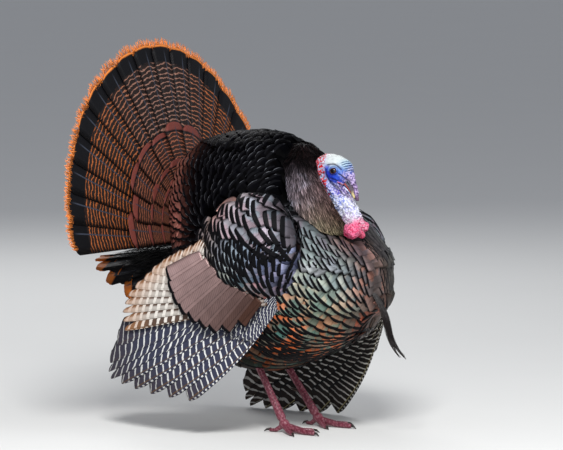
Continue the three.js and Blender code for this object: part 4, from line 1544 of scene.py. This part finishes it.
class TURKEY_OT_wings(bpy.types.Operator):
    """Make both lowered wings: primaries, secondaries and their coverts"""

    bl_idname = "turkey.wings"
    bl_label = "Wings"

    def execute(self, context):
        bronze = np.array(context.scene.turkey_colours.bronze)
        # The near primaries' dark ground is tinted blue-grey: their own dark with a painted sheen; the far
        # ones keep a brown ground.
        flights = (barred_material("primary vane", (0.036, 0.039, 0.066), (0.66, 0.66, 0.64), 0.68,
                                   wave=0.6, slant=0.55),
                   barred_material("far primary vane", (0.020, 0.014, 0.010), (0.86, 0.84, 0.78), 0.58,
                                   wave=0.8, slant=-1.3, shaft_tone=(0.38, 0.33, 0.16)))
        inner = barred_material("secondary vane", colour(84, 68, 60), colour(212, 206, 198), 0.22,
                                notch=colour(130, 96, 70), wave=0.35, slant=0.1, edged=0.6)
        cover = plumage_material("greater covert vane", shine=0.3, rim=(0.3, 0.2, 0.12), roughness=0.36,
                                 patches=0, painted_root_shade=0.1)
        for (name, side), flight in zip(SIDES, flights):
            rng = drawn(61 + side)
            self.primaries(side, rng).finish(f"wing_{name}_primary_feathers", flight, "barred",
                                             f"wing_{name}_primaries")
            self.secondaries(side, rng).finish(f"wing_{name}_secondary_feathers", inner, "barred",
                                               f"wing_{name}_secondaries")
            self.coverts(side, rng, bronze).finish(f"wing_{name}_covert_feathers", cover, "covert",
                                                   f"wing_{name}_coverts")
        return {"FINISHED"}

    def primaries(self, side, rng):
        """Nine long feathers, their narrow edge forwards, and two rows of small coverts at their roots."""
        coat = Coat(LARGE_TOP)
        place = wing(PRIMARY_ROOT, PRIMARY_TIP, 0, 14, side)
        out, count = (side, 0, 0), 9
        inner_ones = np.arange(count) > 4
        draws = np.where(inner_ones, rng.normal(0.3, 0.12, count), rng.uniform(0.1, 0.5, count))
        marks = np.stack([np.linspace(19, 23, count), draws, np.where(inner_ones, 0.0, 1.0)], 1)
        blades(coat, place, count, out, marks, raised=np.linspace(-1.5, 1.4, count), overlap=1.25,
               stations=34, root=0.5, blunt=0.55, round_from=0.92, seed=62, shaft=0.16,
               tint=colour(60, 50, 48), cell=(0, 0.7))
        for k, (end, bars) in enumerate(((0.34, 10.0), (0.18, 6.0))):
            marks = np.stack([np.full(14, bars), rng.uniform(0, 1, 14), np.zeros(14)], 1)
            blades(coat, place, 14, out, marks, reach=(0.0, end), raised=2.2 + 1.2 * k, overlap=1.3,
                   stations=16, blunt=0.4, drop=0.10, seed=63 + k, tint=(0.02, 0.02, 0.03),
                   cell=(0.7 + 0.15 * k, 0.85 + 0.15 * k))
        return coat

    def secondaries(self, side, rng):
        """Twelve broad pale feathers."""
        coat = Coat(LARGE_TOP)
        marks = np.stack([np.linspace(17, 15, 12), rng.uniform(0, 1, 12), np.arange(12) < 1], 1)
        blades(coat, wing(SECONDARY_ROOT, SECONDARY_TIP, 10, 0, side), 12, (side, 0, 0), marks,
               raised=np.linspace(-1.2, 1.6, 12), overlap=1.3, drop=0.03, seed=66, shaft=0.22,
               tint=colour(176, 120, 76))
        return coat

    def coverts(self, side, rng, bronze):
        """Nine greater coverts, from bronze in front to a paler brown behind."""
        coat = Coat(LARGE_TOP)
        share = np.linspace(0, 1, 9)[:, None]
        shade = bronze * (1 - share) + np.array(colour(146, 122, 120)) * share
        shade = shade * rng.uniform(0.85, 1.15, (9, 1))
        blades(coat, wing(COVERT_ROOT, COVERT_TIP, 20, 0, side), 9, (side, 0, 0), (0.065, 0, 0),
               raised=np.linspace(-0.8, 0.8, 9), root=0.8, blunt=0.8, seed=67, shaft=0.3, round_from=0.93,
               ragged=0.003, tint=shade, sheen=shade * 1.2)
        return coat


# The beard's middle from its root to its tip, and the middles of the three locks that it ends in.
BEARD_LINE = ((0, -150, 300), (0, -178, 266), (0, -195, 238), (0, -206, 200), (0, -222, 174), (0, -239, 158))
BEARD_LOCKS = np.array([[-0.7, 0.3], [0.75, 0.1], [0.0, -0.8]])


class TURKEY_OT_beard(bpy.types.Operator):
    """Make the beard of stiff bristles that hangs from the breast"""

    bl_idname = "turkey.beard"
    bl_label = "Beard"

    def execute(self, context):
        rng = drawn(71)
        count, stations = 190, 14
        half = context.scene.turkey_sizes.strand / MM
        shares = np.linspace(0, 1, stations)[None, :] * rng.uniform(0.72, 1.0, (count, 1))
        line = curve(BEARD_LINE, shares)
        angle = rng.uniform(0, 2 * math.pi, count)
        spread = np.sqrt(rng.uniform(0, 1, count))
        offset = np.stack([np.cos(angle) * spread, np.sin(angle) * spread * 0.8], 1)
        lock = BEARD_LOCKS[rng.randint(0, 3, count)]
        width = np.interp(shares, (0, 0.2, 0.5, 0.8, 1), (4.5, 8, 9.5, 9, 9))[..., None]
        gather = smooth(0.45, 0.95, shares)[..., None]
        place = (offset[:, None] * (1 - 0.75 * gather) + lock[:, None] * gather) * width
        line[..., 0] += place[..., 0]
        line[..., 1] += place[..., 1] * 0.9
        line[..., 2] += place[..., 1] * 0.35
        line += rng.normal(0, 0.25, (count, 1, 3)) + rng.normal(0, 0.12, line.shape)
        coat = Coat((-1, 1))
        taper = np.linspace(1, 0.5, stations)[None, :] * np.full((count, 1), half)
        tint = np.array(colour(34, 28, 28)) * rng.uniform(0.5, 1.6, (count, 1))
        up = np.broadcast_to([0.6, -0.7, 0.4], line.shape)
        coat.add(line, up, taper, taper, thick=half * 0.9, tint=tint)
        coat.finish("beard_bristles", hair_material("beard bristle", 0.35), "beard", "beard")
        return {"FINISHED"}


# The camera looks at the bird from ahead and to its right, a little above its eye.
LOOK_AT = np.array([2.0, 55.2, 398.2])
VIEW_AZIMUTH, VIEW_RISE, VIEW_DISTANCE, LENS = -53.0, 5.0, 9000.0, 295.0
# Each soft light's name, place and size in metres, and power in watts.
LIGHTS = (("key", (-2.6, -1.8, 3.0), 1.2, 190), ("fill", (0.8, -3.4, 1.6), 2.0, 42),
          ("rear", (2.2, 2.6, 2.6), 1.6, 40))


class TURKEY_OT_stage(bpy.types.Operator):
    """Set the floor, the lights and the camera"""

    bl_idname = "turkey.stage"
    bl_label = "Stage"

    def execute(self, context):
        scene = context.scene
        deselect()
        bpy.ops.mesh.primitive_plane_add(size=90, location=(0, 0, 0))
        floor = bpy.context.object
        floor.name = "floor"
        graph = Graph("floor", Roughness=0.9)
        tone = tuple(scene.turkey_colours.floor)
        graph.set(Base_Color=graph.mix(graph.noise(3.0), tuple(v * 0.98 for v in tone), tone))
        floor.data.materials.append(graph.material)
        world = bpy.data.worlds.new("soft light")
        scene.world = world
        world.use_nodes = True
        world.node_tree.nodes["Background"].inputs[0].default_value = (0.86, 0.90, 1.0, 1)
        world.node_tree.nodes["Background"].inputs[1].default_value = 0.36
        scene.view_settings.view_transform = "Standard"
        middle = Vector(to_frame(LOOK_AT))
        for name, place, size, power in LIGHTS:
            light = bpy.data.lights.new(name, "AREA")
            light.size, light.energy = size, power
            self.put(scene, light, place, (middle - Vector(place)).to_track_quat("-Z", "Y"))
        azimuth, rise = math.radians(VIEW_AZIMUTH), math.radians(VIEW_RISE)
        level = math.cos(rise)
        back = Vector((math.sin(azimuth) * level, -math.cos(azimuth) * level, math.sin(rise)))
        camera = bpy.data.cameras.new("camera")
        camera.lens, camera.sensor_width, camera.clip_end = LENS, 36, 100
        place = middle + back * (VIEW_DISTANCE * MM)
        scene.camera = self.put(scene, camera, place, back.to_track_quat("Z", "Y"))
        return {"FINISHED"}

    def put(self, scene, data, place, turn):
        """Adds a light or a camera at a place, turned."""
        made = bpy.data.objects.new(data.name, data)
        scene.collection.objects.link(made)
        made.location = place
        made.rotation_mode = "QUATERNION"
        made.rotation_quaternion = turn
        return made


class TURKEY_PT_panel(bpy.types.Panel):
    """Lists the pieces in the order they are made"""

    bl_label = "Wild turkey"
    bl_space_type = "VIEW_3D"
    bl_region_type = "UI"
    bl_category = "Turkey"

    def draw(self, context):
        for group in (context.scene.turkey_sizes, context.scene.turkey_colours):
            for name in group.bl_rna.properties.keys():
                if name not in ("rna_type", "name"):
                    self.layout.prop(group, name)
        for piece in PIECES:
            self.layout.operator(piece.bl_idname)


PIECES = (TURKEY_OT_skin, TURKEY_OT_eyes, TURKEY_OT_horn, TURKEY_OT_body_coat, TURKEY_OT_shoulder_coat,
          TURKEY_OT_ruff_coat, TURKEY_OT_tail, TURKEY_OT_undertail, TURKEY_OT_wings, TURKEY_OT_beard,
          TURKEY_OT_stage)
CLASSES = (TurkeySizes, TurkeyColours, *PIECES, TURKEY_PT_panel)


def register():
    """Adds the classes and the settings to Blender."""
    for made in CLASSES:
        bpy.utils.register_class(made)
    bpy.types.Scene.turkey_sizes = bpy.props.PointerProperty(type=TurkeySizes)
    bpy.types.Scene.turkey_colours = bpy.props.PointerProperty(type=TurkeyColours)


def unregister():
    """Takes them out again."""
    del bpy.types.Scene.turkey_sizes
    del bpy.types.Scene.turkey_colours
    for made in reversed(CLASSES):
        bpy.utils.unregister_class(made)


def main():
    """Makes every piece in order."""
    register()
    deselect()
    for piece in PIECES:
        getattr(bpy.ops.turkey, piece.bl_idname.split(".")[1])()


if __name__ == "__main__":
    main()
